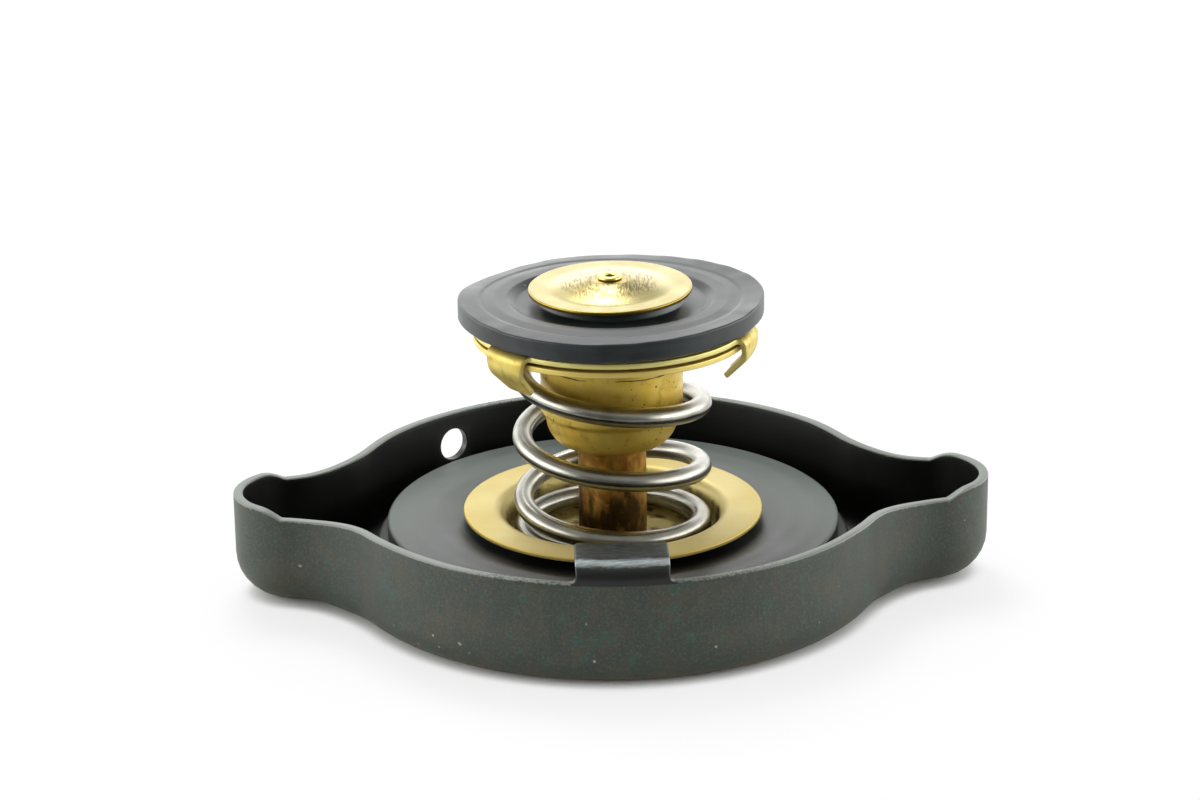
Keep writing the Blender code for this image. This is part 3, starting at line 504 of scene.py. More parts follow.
@dataclass(frozen=True)
class TarnishedBar(Finish):
    """Turned brass bar gone brown: copper-orange patches, and dark runs, more of them lower
    down.
    """

    colour: str = "#CFA04C"
    brown: str = "#93652C"
    dark: str = "#33260F"
    bright: str = "#E0B65C"
    roughness: float = 0.46
    darker_below: float = 11.5

    def lay(self, g: Graph, place: Socket) -> Laid:
        """Add the nodes of the tarnished bar.

        Args:
            g: The graph of the material.
            place: Object coordinates.

        Returns:
            The layers and the shader's other inputs, as Finish says.
        """
        patch = g.add("TexNoise", {"Vector": place, "Scale": per(1.8), "Detail": 6.0,
                                   "Distortion": 0.5})
        brown = g.add("MapRange", (patch, 0.38, 0.62))
        # dark runs down the bar, 1.6 mm wide and 5 mm tall, more of them low down
        tall = g.add("Mapping", {"Vector": place, "Location": (0.0009, 0.0, 0.0),
                                 "Scale": (1.0, 1.0, 0.35)})
        run = g.add("TexNoise", {"Vector": tall, "Scale": per(1.6), "Detail": 5.0})
        height = g.add("SeparateXYZ", (place,), out="Z")
        lower = g.add("MapRange", (height, self.darker_below * MM + 0.0015,
                                   self.darker_below * MM - 0.0035, 0.0, 0.22))
        run = g.add("Math", (run, lower), operation="ADD")
        dark_runs = g.add("MapRange", (run, 0.52, 0.74, 0.0, 0.9))
        # brighter copper orange where it was handled
        glint = g.add("TexNoise", {"Vector": place, "Scale": per(0.7), "Detail": 5.0})
        glint = g.add("MapRange", (glint, 0.58, 0.8, 0.0, 0.3))
        gloss = g.add("MapRange", (patch, 0.0, 1.0, self.roughness - 0.08,
                                   self.roughness + 0.12))
        bump = g.add("Bump", {"Height": patch, "Strength": 0.5, "Distance": 4e-5})
        layers = [(brown, self.brown), (dark_runs, self.dark), (glint, self.bright)]
        return layers, {"Metallic": 0.9, "Roughness": gloss, "Normal": bump}


@dataclass(frozen=True)
class DrawnSteelWire(Finish):
    """Stainless wire, drawn and coiled: a soft silver sheen with fine lines along it."""

    colour: str = "#A19F94"
    shade: str = "#84827A"
    painted_reflection_and_pits: str = "#201E17"
    roughness: float = 0.27

    def lay(self, g: Graph, place: Socket) -> Laid:
        """Add the wire's nodes, which read the marks wire and painted_reflection_and_pits.

        Args:
            g: The graph of the material.
            place: Object coordinates.

        Returns:
            The layers and the shader's other inputs, as Finish says.
        """
        wire = g.add("Attribute", attribute_name="wire", out="Vector")
        # drawing lines, 0.09 mm apart and 12 mm long
        along = g.add("Mapping", {"Vector": wire, "Scale": (11.0, 11.0, 1 / 12)})
        lines = g.add("TexNoise", {"Vector": along, "Scale": 1.0, "Detail": 3.0})
        cloud = g.add("TexNoise", {"Vector": place, "Scale": per(2.5), "Detail": 4.0})
        tone = g.add("MapRange", (cloud, 0.4, 0.75))
        # painted reflection: a dark line along the wire, a little below its outward side,
        # fainter here and there
        painted_reflection_and_pits = g.add("Attribute", attribute_name="painted_reflection_and_pits", out="Fac")
        faint = g.add("MapRange", (cloud, 0.3, 0.6, 0.45, 0.95))
        painted_reflection_and_pits = g.add("Math", (painted_reflection_and_pits, faint), operation="MULTIPLY")
        # pits of 0.1 mm, in the same dark colour as the painted reflection line
        pit = g.specks(place, 1.4, 2.3, (0.56, 0.8), 0.09, 0.02)
        gloss = g.add("MapRange", (lines, 0.0, 1.0, self.roughness - 0.06,
                                   self.roughness + 0.1))
        bump = g.add("Bump", {"Height": lines, "Strength": 0.3, "Distance": 1e-5})
        layers = [(tone, self.shade), (painted_reflection_and_pits, self.painted_reflection_and_pits), (pit, self.painted_reflection_and_pits)]
        return layers, {"Metallic": 1.0, "Roughness": gloss, "Normal": bump}


@dataclass(frozen=True)
class ZincPlate(Finish):
    """Zinc plated washer steel: pale blue-grey with a fine spangle."""

    colour: str = "#A7ABAA"
    shade: str = "#7C817F"
    roughness: float = 0.38

    def lay(self, g: Graph, place: Socket) -> Laid:
        """Add the plating's nodes: a spangle of 0.8 mm.

        Args:
            g: The graph of the material.
            place: Object coordinates.

        Returns:
            The layers and the shader's other inputs, as Finish says.
        """
        cells = g.add("TexVoronoi", {"Vector": place, "Scale": per(0.8)}, out="Color")
        tone = g.add("SeparateColor", (cells,))
        gloss = g.add("MapRange", (tone, 0.0, 1.0, self.roughness - 0.06,
                                   self.roughness + 0.06))
        return [(tone, self.shade)], {"Metallic": 1.0, "Roughness": gloss}


def table_quads(table: Grid, keep: Grid | None = None) -> Grid:
    """Quads between the neighbours of a table of point numbers.

    Args:
        table: Point numbers, rows by columns.
        keep: Which of the (rows - 1) by (columns - 1) quads are made; all if None.

    Returns:
        Four point numbers for each quad.
    """
    quads = np.stack([table[:-1, :-1], table[:-1, 1:], table[1:, 1:], table[1:, :-1]], axis=-1)
    return quads.reshape(-1, 4) if keep is None else quads[keep]


def wrap(table: Grid) -> Grid:
    """The table with its first column again at the end, so that it closes round."""
    return np.hstack([table, table[:, :1]])


def make_mesh(name: str, points: Grid, quads: Grid, marks: Marks,
              sharp: float = 38.0) -> bpy.types.Object:
    """A closed, outward facing mesh object at the world's origin.

    Args:
        name: Name of the object.
        points: Places in mm, one a row.
        quads: Four point numbers a row; those on a pole may repeat a place.
        marks: Values for each point, single numbers or vectors, by attribute name.
        sharp: Edges bent by more than this many degrees shade as corners.

    Returns:
        The object, linked to the scene.
    """
    mesh = bpy.data.meshes.new(name)
    mesh.from_pydata((points * MM).tolist(), [], quads.tolist())
    for key, values in marks.items():
        vector = values.ndim == 2
        kind = "FLOAT_VECTOR" if vector else "FLOAT"
        attribute = mesh.attributes.new(key, kind, "POINT")
        attribute.data.foreach_set("vector" if vector else "value",
                                   values.astype(np.float32).ravel())
    bm = bmesh.new()
    bm.from_mesh(mesh)
    bmesh.ops.remove_doubles(bm, verts=bm.verts, dist=2e-7)
    bmesh.ops.recalc_face_normals(bm, faces=bm.faces)
    bm.to_mesh(mesh)
    bm.free()
    mesh.shade_smooth()
    mesh.set_sharp_from_angle(angle=math.radians(sharp))
    piece = bpy.data.objects.new(name, mesh)
    bpy.context.scene.collection.objects.link(piece)
    return piece


def profile_of(corners: Sequence[tuple[float, ...]], spacing: float = 0.6,
               closed: bool = True) -> Grid:
    """Points of a profile whose corners are rounded and whose straights are divided.

    Each rounded corner becomes the arc that touches both its sides, in steps of about
    12 degrees, and each straight is cut into equal parts no longer than the spacing.

    Args:
        corners: Distance from the axis, height and, where it is rounded, the radius of
            each corner in order.
        spacing: Longest distance between two points, in mm.
        closed: Whether the last corner joins the first.

    Returns:
        Distance from the axis and height of each point.
    """
    places = np.array([corner[:2] for corner in corners])
    points: list[Grid] = []
    for index, corner in enumerate(corners):
        here = places[index]
        rounding = corner[2] if len(corner) > 2 else 0.0
        if rounding == 0.0 or (not closed and index in (0, len(corners) - 1)):
            points.append(here[None])
            continue
        back = places[index - 1] - here
        ahead = places[(index + 1) % len(corners)] - here
        back, ahead = back / np.linalg.norm(back), ahead / np.linalg.norm(ahead)
        half = math.acos(float(np.clip(back @ ahead, -1.0, 1.0))) / 2
        middle = back + ahead
        centre = here + middle / np.linalg.norm(middle) * rounding / math.sin(half)
        start = here + back * rounding / math.tan(half) - centre
        sweep = math.pi - 2 * half
        steps = max(2, math.ceil(sweep / math.radians(12)))
        side = math.copysign(1.0, float(back[0] * ahead[1] - back[1] * ahead[0]))
        turn = -side * np.linspace(0.0, sweep, steps + 1)
        points.append(centre + np.column_stack([
            start[0] * np.cos(turn) - start[1] * np.sin(turn),
            start[0] * np.sin(turn) + start[1] * np.cos(turn)]))
    outline = np.vstack(points)
    after = np.roll(outline, -1, axis=0) if closed else outline[1:]
    before = outline if closed else outline[:-1]
    parts = [a + (b - a) * np.linspace(0, 1, n, endpoint=False)[:, None]
             for a, b, n in zip(before, after, np.maximum(1, np.ceil(
                 np.linalg.norm(after - before, axis=1) / spacing)).astype(int))]
    return np.vstack(parts if closed else parts + [outline[-1:]])


def flat_ring(bore: float, radius: float, thick: float, roundings: Sequence[float],
              spacing: float) -> Grid:
    """Profile of a flat ring.

    Args:
        bore: Its inner radius.
        radius: Its outer radius.
        thick: Its thickness.
        roundings: Of its corners: inner and outer below, outer and inner above.
        spacing: Longest distance between two points, in mm.

    Returns:
        Distance from the axis and height of each point.
    """
    places = ((bore, 0.0), (radius, 0.0), (radius, thick), (bore, thick))
    return profile_of([(*place, size) for place, size in zip(places, roundings)], spacing)


Warp = Callable[[Grid, Grid, Grid], Pair]
Mark = Callable[[Grid, Grid], Grid]


def lathe(name: str, profile: Grid, columns: int, lift: float,
          warp: Warp | None = None, marks: Mapping[str, Mark] | None = None,
          place: Callable[[Grid], Grid] | None = None) -> bpy.types.Object:
    """Carry a profile round the axis.

    A point at distance r and height z goes to (r cos a, r sin a, z + lift) at each of
    the angles a.  The mark lathe holds the same circle at the profile's widest radius
    and how far along the profile the point lies, so patterns run round without a break.

    Args:
        name: Name of the object.
        profile: Distance from the axis and height of each point, in mm.
        columns: Number of angles round the axis.
        lift: Height of the profile's zero above the table.
        warp: Moves distance and height, given distance, height and angle.
        marks: Functions of distance and height that fill further attributes.
        place: Moves the finished points, such as the lean of the vacuum valve.

    Returns:
        The turned object.
    """
    angles = np.arange(columns) * TAU / columns
    r, a = np.broadcast_arrays(profile[:, :1], angles[None])
    z = np.broadcast_to(profile[:, 1:], r.shape)
    open_profile = profile[0, 0] < 1e-9
    gaps = np.linalg.norm(np.diff(profile, axis=0), axis=1)
    run = np.broadcast_to(np.concatenate([[0.0], np.cumsum(gaps)])[:, None], r.shape)
    wide = float(profile[:, 0].max())
    values: dict[str, Grid] = {"lathe": np.column_stack([
        (wide * np.cos(a)).ravel(), (wide * np.sin(a)).ravel(), run.ravel()])}
    for key, mark in (marks or {}).items():
        values[key] = mark(r, z).ravel()
    if warp:
        r, z = warp(r, z, a)
    points = np.column_stack([(r * np.cos(a)).ravel(), (r * np.sin(a)).ravel(),
                              (z + lift).ravel()])
    table = wrap(np.arange(len(points)).reshape(r.shape))
    if not open_profile:
        table = np.vstack([table, table[:1]])
    if place:
        points = place(points)
    return make_mesh(name, points, table_quads(table), values)


class SheetPath:
    """The line of a bent sheet in the plane of distance and height."""

    def __init__(self, start: tuple[float, float], heading: float, inward: float,
                 stretches: Sequence[tuple[float, float]]) -> None:
        """Lay the path.

        The heading grows evenly over each stretch, and the path is its running sum.

        Args:
            start: Distance and height where the sheet leaves its parent.
            heading: Direction at the start, from +r towards +z.
            inward: Plus or minus one, the side on which the sheet's thickness lies.
            stretches: Length and turn of each stretch.
        """
        ends = np.cumsum([0.0] + [length for length, _ in stretches])
        turns = heading + np.cumsum([0.0] + [turn for _, turn in stretches])
        self.length = float(ends[-1])
        self.run = np.linspace(0.0, self.length, 1201)
        self.heading = np.interp(self.run, ends, turns)
        middle = (self.heading[1:] + self.heading[:-1]) / 2
        step = np.diff(self.run)
        self.r = start[0] + np.concatenate([[0.0], np.cumsum(np.cos(middle) * step)])
        self.z = start[1] + np.concatenate([[0.0], np.cumsum(np.sin(middle) * step)])
        self.inward = inward

    def at(self, run: Grid, depth: Grid) -> Pair:
        """Distance and height at a run along the path and a depth into the sheet.

        Args:
            run: How far along the outer face; what lies before the start goes straight.
            depth: How deep below the outer face.

        Returns:
            Distance from the axis and height.
        """
        before = np.minimum(run, 0.0)
        heading = np.interp(run, self.run, self.heading)
        r = np.interp(run, self.run, self.r) + before * np.cos(heading)
        z = np.interp(run, self.run, self.z) + before * np.sin(heading)
        across = heading + self.inward * math.pi / 2
        return r + depth * np.cos(across), z + depth * np.sin(across)


@dataclass(frozen=True)
class Tongue:
    """A tongue of sheet that grows out of the edge of a pressing."""

    path: SheetPath
    sheet: float
    root_half: float
    half_width: Callable[[float], float]
    fillet: float
    edge: float
    corner: float
    steps: int = 26

    def stations(self) -> list[tuple[float, float, float, float]]:
        """Run of the faces, run of the sides, half width and share of the thickness.

        Returns:
            These four for each station, from the root outward.
        """
        out = []
        for turn in np.linspace(0.0, math.pi / 2, 6)[1:]:
            out.append((self.fillet - (self.fillet + self.edge) * math.cos(turn),
                        self.fillet - self.fillet * math.cos(turn),
                        self.root_half - self.fillet * math.sin(turn), 1.0))
        end = self.path.length
        for run in np.linspace(self.fillet, end - self.corner, self.steps)[1:]:
            out.append((run, run, self.half_width(run), 1.0))
        for turn in np.linspace(0.0, math.pi / 2, 7)[1:]:
            run = end - self.corner + (self.corner - self.edge) * math.sin(turn)
            narrow = self.corner * (1 - math.cos(turn))
            out.append((run, run, self.half_width(run) - narrow, 1.0))
        last = out[-1][2]
        for turn in (0.5, 1.0, math.pi / 2):
            run = end - self.edge * (1 - math.sin(turn))
            thin = 1 - 2 * self.edge / self.sheet * (1 - math.cos(turn))
            out.append((run, run, last, thin))
        out.append((end, end, last, 0.0))
        return out

    def loops(self, middle: float, shares: Grid) -> Grid:
        """Closed loops of points round the tongue, one for each station.

        Args:
            middle: Direction of the tongue's middle, seen from the axis.
            shares: Place of each face column between the edges, from -1 to 1.

        Returns:
            Points in mm, stations by loop by 3: outer face, side, inner face, side.
        """
        across = edge_rows(self.sheet, self.edge)
        faces, sides, halves, thick = np.array(self.stations()).T[:, :, None]
        inner = halves - self.edge
        depth = np.concatenate([np.zeros(len(shares)), across[:, 0],
                                np.full(len(shares), self.sheet), across[::-1, 0]])[None]
        out = across[:, 1][None]
        side = np.hstack([inner * shares, inner + out, inner * shares[::-1],
                          -(inner + out[:, ::-1])])
        # along the root's hollow the side's points lie between the two runs
        between = faces + (sides - faces) * out / self.edge
        run = np.hstack([faces + 0 * shares[None], between, faces + 0 * shares[None],
                         between[:, ::-1]])
        middle_depth = self.sheet / 2
        depth = middle_depth + (depth - middle_depth) * thick
        r, z = self.path.at(run, depth)
        r_face, _ = self.path.at(run, 0 * depth)
        angle = middle + side / r_face
        return np.stack([r * np.cos(angle), r * np.sin(angle), z], axis=-1)


def edge_rows(sheet: float, edge: float) -> Grid:
    """Depth and rise of the points across a sheet's rounded edge, its faces left out.

    A quarter circle of the edge's rounding leads up from each face, with one point
    between the two.

    Args:
        sheet: Thickness of the sheet.
        edge: Radius of the edge's rounding.

    Returns:
        Depth below the outer face and rise, one point a row.
    """
    turn = np.linspace(0.0, math.pi / 2, 4)[1:]
    first = np.column_stack([edge * (1 - np.cos(turn)), edge * np.sin(turn)])
    last = np.column_stack([sheet - first[::-1, 0], first[::-1, 1]])
    return np.vstack([first, [[sheet / 2, edge]], last])


def block_edge(block: Grid) -> Grid:
    """Point numbers round the edge of a block of a table, in order."""
    return np.concatenate([block[0, :-1], block[:-1, -1], block[-1, :0:-1], block[:0:-1, 0]])


@dataclass(frozen=True)
class Hole:
    """A round hole through a sheet, and how the sheet lies round it.

    Flat lays places of the sheet in the hole's plane, from its middle, given how deep
    below the outer face they are.  Bend lays them back.
    """

    radius: float
    edge: float
    steps: int
    flat: Callable[[Grid, float], Grid]
    bend: Callable[[Grid, float], Grid]


class Skin:
    """The surface of a sheet as it grows: a table of points and what is grafted on it.

    The table's rows run over the outer face, round the sheet's edge and back over the
    inner face.
    """

    def __init__(self, rows: Grid, outer_top: int, inner_top: int,
                 marks: Marks) -> None:
        """Start with the table.

        Args:
            rows: Places in mm, rows by columns by 3.
            outer_top: Last row of the outer face.
            inner_top: First row of the inner face.
            marks: Values for each point of the table, by attribute name.
        """
        self.rows, self.outer_top, self.inner_top = rows, outer_top, inner_top
        self.table = np.arange(rows.shape[0] * rows.shape[1]).reshape(rows.shape[:2])
        self.keep = np.ones(rows.shape[:2], bool)
        self.points = [rows.reshape(-1, 3)]
        self.quads: list[Grid] = []
        self.marks = {key: [values.ravel()] for key, values in marks.items()}

    def graft(self, loops: Grid, marks: Mapping[str, object],
              *ends: Grid) -> None:
        """Join rings of new points to one ring of old ones, or between two.

        Args:
            loops: Places, rings by points by 3.
            marks: Values for the new points by attribute name, 0 where none is given.
            *ends: Point numbers of the ring before and of the ring after.
        """
        shape = loops.shape[:2]
        grown = sum(map(len, self.points)) + np.arange(shape[0] * shape[1]).reshape(shape)
        rings = [ends[0][None], grown, *(end[None] for end in ends[1:])]
        self.points.append(loops.reshape(-1, 3))
        self.quads.append(table_quads(wrap(np.vstack(rings))))
        for key, values in self.marks.items():
            values.append(np.broadcast_to(marks.get(key, 0.0), shape).ravel())

    def sprout(self, tongue: Tongue, middle: float, first: int, last: int,
               marks: Mapping[str, object]) -> None:
        """Let a tongue grow out of the sheet's edge.

        Args:
            tongue: The tongue.
            middle: Direction of its middle, seen from the axis.
            first: First column that it takes.
            last: Last column that it takes.
            marks: Values for its points, by attribute name.
        """
        top, low = self.outer_top, self.inner_top
        self.keep[top:low, first:last] = False
        edge = self.table[top + 1:low]
        root = np.concatenate([self.table[top, first:last + 1], edge[:, last],
                               self.table[low, first:last + 1][::-1], edge[::-1, first]])
        loops = tongue.loops(middle, np.linspace(-1, 1, last - first + 1))
        self.graft(loops, marks, root)

    def bore(self, hole: Hole, sheet: float, faces: Sequence[Grid],
             cols: Grid, marks: Mapping[str, object]) -> None:
        """Bore a hole in place of a block of the table on both faces.

        Each point of a block's edge moves on a straight line to the circle's point in
        its own direction, and a lip leads on into the hole.  The mark inside grows from
        0 to 1 through the hole, so that painted shade deepens into it.

        Args:
            hole: The hole.
            sheet: Thickness of the sheet.
            faces: Rows of the block on the outer and on the inner face.
            cols: Columns of both blocks.
            marks: Values for the new points, by attribute name.
        """
        shares = np.linspace(0.0, 1.0, hole.steps + 1)[1:, None, None] ** 0.8
        ends, laid = [], []
        for span, depth, lip in zip(faces, (0.0, sheet), (hole.edge, sheet - hole.edge)):
            low, high = span.min(), span.max()
            self.keep[low:high][:, cols[:-1]] = False
            block = self.table[low:high + 1][:, cols]
            ends.append(block_edge(block[::-1] if depth else block))
            flat = hole.flat(self.points[0][ends[-1]], depth)
            out = flat / np.linalg.norm(flat, axis=1)[:, None]
            rings = flat + (out * (hole.radius + hole.edge) - flat) * shares
            laid += [hole.bend(rings, depth), hole.bend(out[None] * hole.radius, lip)]
        outer, outer_lip, inner, inner_lip = laid
        loops = np.concatenate([outer, outer_lip, inner_lip, inner[::-1]])
        through = np.linspace(0.0, 1.0, loops[..., 0].size).reshape(loops.shape[:2])
        self.graft(loops, {**marks, "inside": through}, *ends)

    def whole(self) -> tuple[Grid, Grid, dict[str, Grid]]:
        """All the points, quads and marks; the table's own quads come last.

        Returns:
            Places in mm, four point numbers a row, and values by mark.
        """
        closed = wrap(np.vstack([self.table, self.table[:1]]))
        quads = self.quads + [table_quads(closed, self.keep)]
        return (np.vstack(self.points), np.vstack(quads),
                {key: np.concatenate(values) for key, values in self.marks.items()})


@dataclass
class PressedShell:
    """The pressed steel shell with its ears, lock tabs and vent hole."""

    stack: Stack
    radius: float = 29.2
    height: float = 11.1
    sheet: float = 1.0
    corner: float = 3.0
    ear_corner: float = 4.6
    ear_reach: float = 39.9
    ear_tip: float = 6.8
    ear_blend: float = 12.0
    rim_dip: float = 0.9
    dip_length: float = 10.0
    lip_length: float = 2.4
    lip_ramp: float = 2.6
    plateau: float = 25.0
    plateau_rise: float = 4.3
    step_run: float = 0.6
    step_round: float = 0.5
    well: float = 12.05
    well_top: float = 3.95
    bore: float = 2.5
    edge: float = 0.16
    tab_half: float = 4.65
    tab_flare: float = 0.7
    tab_rise: float = 2.2
    tab_reach: float = 6.2
    tab_bend: float = 1.8
    tab_droop: float = 0.2
    tab_shift: float = 0.75
    vent_radius: float = 1.8
    vent_angle: float = math.radians(125.8)
    vent_height: float = 7.4
    vent_block: float = 2.9
    vent_lip: float = 0.1
    tab_corner: float = 0.8
    counts: tuple[int, int, int, int] = (28, 22, 54, 10)
    finish: StovePaint = field(default_factory=StovePaint)

    def plan(self, inset: float) -> Grid:
        """The shell's plan moved inward, counter-clockwise from the +X ear tip.

        One quadrant runs over the ear's tip arc, the hollow arc that touches both the
        tip and the round wall, the round wall and half a lock tab; it is mirrored
        twice.  Near the tabs the columns move along the round wall by a bell curve, as
        the tabs stand a little off the middle.

        Args:
            inset: How far inward.

        Returns:
            Place of each column in x and y.
        """
        tip = np.array([self.ear_reach - self.ear_tip, 0.0])
        to_axis = self.radius + self.ear_blend
        to_tip = self.ear_tip + self.ear_blend
        x = (to_axis ** 2 - to_tip ** 2 + tip[0] ** 2) / (2 * tip[0])
        blend = np.array([x, math.sqrt(to_axis ** 2 - x ** 2)])
        at_tip = math.atan2(blend[1], blend[0] - tip[0])
        at_axis = math.atan2(blend[1], blend[0])
        root = math.pi / 2 - (self.tab_half + self.tab_flare) / self.radius
        arcs = ((tip, self.ear_tip - inset, 0.0, at_tip),
                (blend, self.ear_blend + inset, at_tip + math.pi, at_axis + math.pi),
                (np.zeros(2), self.radius - inset, at_axis, root),
                (np.zeros(2), self.radius - inset, root, math.pi / 2))
        parts = []
        for (centre, reach, start, end), count in zip(arcs, self.counts):
            turn = np.linspace(start, end, count, endpoint=False)
            parts.append(centre + reach * np.column_stack([np.cos(turn), np.sin(turn)]))
        quadrant = np.vstack(parts + [[[0.0, self.radius - inset]]])
        half = np.vstack([quadrant, quadrant[-2::-1] * (-1, 1)])
        whole = np.vstack([half, half[-2:0:-1] * (1, -1)])
        angle = np.arctan2(whole[:, 1], whole[:, 0])
        turn = -self.tab_turn * np.exp(-((np.abs(angle) - math.pi / 2) / 0.35) ** 2)
        return np.column_stack([whole[:, 0] * np.cos(turn) - whole[:, 1] * np.sin(turn),
                                whole[:, 0] * np.sin(turn) + whole[:, 1] * np.cos(turn)])

    @property
    def tab_turn(self) -> float:
        """How far round the wall the tabs stand from the middle, in radians."""
        return self.tab_shift / self.radius

    def rim(self, x: Grid) -> Grid:
        """Height of the rim, which dips at the neck of each ear and lifts at its tip.

        Args:
            x: Place along the line through both ears.

        Returns:
            Height above the table.
        """
        reach = np.abs(x)
        neck = self.ear_reach - self.ear_tip
        fall = np.clip((reach - (neck - self.dip_length)) / self.dip_length, 0, 1)
        start = self.ear_reach - self.lip_length - self.lip_ramp
        lift = np.sin(np.clip((reach - start) / self.lip_ramp, 0, 1) * math.pi / 2)
        return self.height - self.rim_dip * (fall * fall * (3 - 2 * fall) - lift)

    def corners(self) -> Grid:
        """Radius of the bend from floor to wall, wider at the ear tips, by column.

        Returns:
            One radius a column.
        """
        neck = self.ear_reach - self.ear_tip
        half = self.dip_length / 2
        share = np.clip((np.abs(self.plan(0.0)[:, 0]) - (neck - half)) / half, 0, 1)
        share = share * share * (3 - 2 * share)
        return self.corner + (self.ear_corner - self.corner) * share

    def bend(self, inset: float, radius: Grid, turn: float) -> Grid:
        """Points on the bend from floor to wall at an angle up the bend.

        A point lies inset + radius (1 - sin turn) inward of the plan and as far above
        the table as inset + radius (1 - cos turn).

        Args:
            inset: Nought outside, one sheet inside.
            radius: Radius of the bend at each column.
            turn: Angle up from the floor.

        Returns:
            One point a column.
        """
        plan = self.plan(0.0)
        inward = (self.plan(self.sheet) - plan) / self.sheet
        across = inset + radius * (1 - math.sin(turn))
        return np.column_stack([plan + inward * across[:, None],
                                inset + radius * (1 - math.cos(turn))])

    def floor_profiles(self) -> Pair:
        """Profiles of the pressed floor, outside and inside, from the bore outward.

        Returns:
            Distance from the axis and height of each point.
        """
        s, bend = self.sheet, self.step_round
        foot = self.plateau + s
        outside = profile_of([
            (self.bore, self.well_top - s),
            (self.well + s, self.well_top - s, bend),
            (self.well + s + self.step_run, self.plateau_rise, bend + 0.2),
            (self.plateau - s, self.plateau_rise, bend + 0.2),
            (self.plateau - s + self.step_run, 0.0, bend),
            (foot, 0.0)], 1.1, closed=False)
        inside = profile_of([
            (self.bore, self.well_top),
            (self.well, self.well_top, bend),
            (self.well + self.step_run, self.stack.plateau_top, bend),
            (self.plateau, self.stack.plateau_top, bend),
            (self.plateau + self.step_run, s, bend),
            (foot, s)], 1.1, closed=False)
        return outside, inside

    def rows(self) -> tuple[Grid, int, int]:
        """Rows of points from the bore out along the outside and back inside.

        Returns:
            The points, rows by columns by 3, and the rows of the outer and the inner
            face that end at the rim's rounding.
        """
        corner = self.corners()
        foot = self.bend(0.0, corner, 0.0)[:, :2]
        by_plan = np.unwrap(np.arctan2(foot[:, 1], foot[:, 0]))
        even = np.arange(len(foot)) * TAU / len(foot)
        rows: list[Grid] = []

        def level(plan: Grid, z: Grid | float) -> None:
            """Add a row at one height, or at a height for each column."""
            rows.append(np.column_stack([plan, np.broadcast_to(z, len(plan))]))

        def ring(r: float, z: float) -> None:
            """Add a circle whose columns drift from even to the plan's directions.

            Args:
                r: Radius of the circle.
                z: Its height.
            """
            share = np.clip((r - self.well - 1.5) / (self.plateau - self.well - 3.5), 0, 1)
            angle = even + (by_plan - even) * share
            level(r * np.column_stack([np.cos(angle), np.sin(angle)]), z)

        def fan(z: float, shares: Grid) -> None:
            """Add rows between the last circle and the foot of the wall.

            Args:
                z: Height of the rows.
                shares: How far out each row lies, from 0 to 1.
            """
            r = self.plateau + self.sheet
            circle = r * np.column_stack([np.cos(by_plan), np.sin(by_plan)])
            for share in shares:
                level(circle + (foot - circle) * share, z)

        outside, inside = self.floor_profiles()
        for r, z in outside:
            ring(r, z)
        fan(0.0, np.linspace(0, 1, 12)[1:-1])
        turns = np.linspace(0, math.pi / 2, 9)
        rows += [self.bend(0.0, corner, turn) for turn in turns]
        top = self.rim(self.plan(0.0)[:, 0])
        shares = np.linspace(0, 1, 17)[1:]
        for share in shares:
            level(self.plan(0.0), corner + (top - self.edge - corner) * share)
        outer_top = len(rows) - 1
        for depth, rise in edge_rows(self.sheet, self.edge):
            level(self.plan(depth), top - self.edge + rise)
        for share in np.concatenate([shares[::-1], [0.0]]):
            level(self.plan(self.sheet), corner + (top - self.edge - corner) * share)
        inner_top = outer_top + len(edge_rows(self.sheet, self.edge)) + 1
        rows += [self.bend(self.sheet, corner - self.sheet, turn) for turn in turns[-2::-1]]
        fan(self.sheet, np.linspace(0, 1, 12)[-2:0:-1])
        for r, z in inside[::-1]:
            ring(r, z)
        return np.stack(rows), outer_top, inner_top

    def tab_path(self) -> SheetPath:
        """Line of a lock tab: up from the rim, over its bend and inward.

        Returns:
            The path of its outer face.
        """
        droop = math.atan2(self.tab_droop, self.tab_reach - self.tab_bend)
        turn = math.pi / 2 + droop
        reach = self.tab_reach - self.tab_bend * (1 + math.sin(droop))
        return SheetPath((self.radius, self.height), math.pi / 2, 1.0,
                         [(self.tab_rise - self.tab_bend, 0.0),
                          (self.tab_bend * turn, turn), (reach / math.cos(droop), 0.0)])

    def build(self) -> bpy.types.Object:
        """Make the shell.

        The vent hole takes the place of a block of the wall's table on both faces, and
        each lock tab that of the rim's rows over its columns.

        Returns:
            The shell's object.
        """
        rows, outer_top, inner_top = self.rows()
        quarter, half = sum(self.counts), self.counts[3]
        # the sheet's edge is rubbed bare, and the corners beside it a little
        rim = np.zeros(rows.shape[:2])
        rim[outer_top], rim[inner_top] = 0.42, 0.3
        rim[outer_top + 1:inner_top] = 1.0
        rim *= 0.5 + 0.5 * np.clip((np.abs(rows[..., 0]) - 12) / 14, 0, 1)
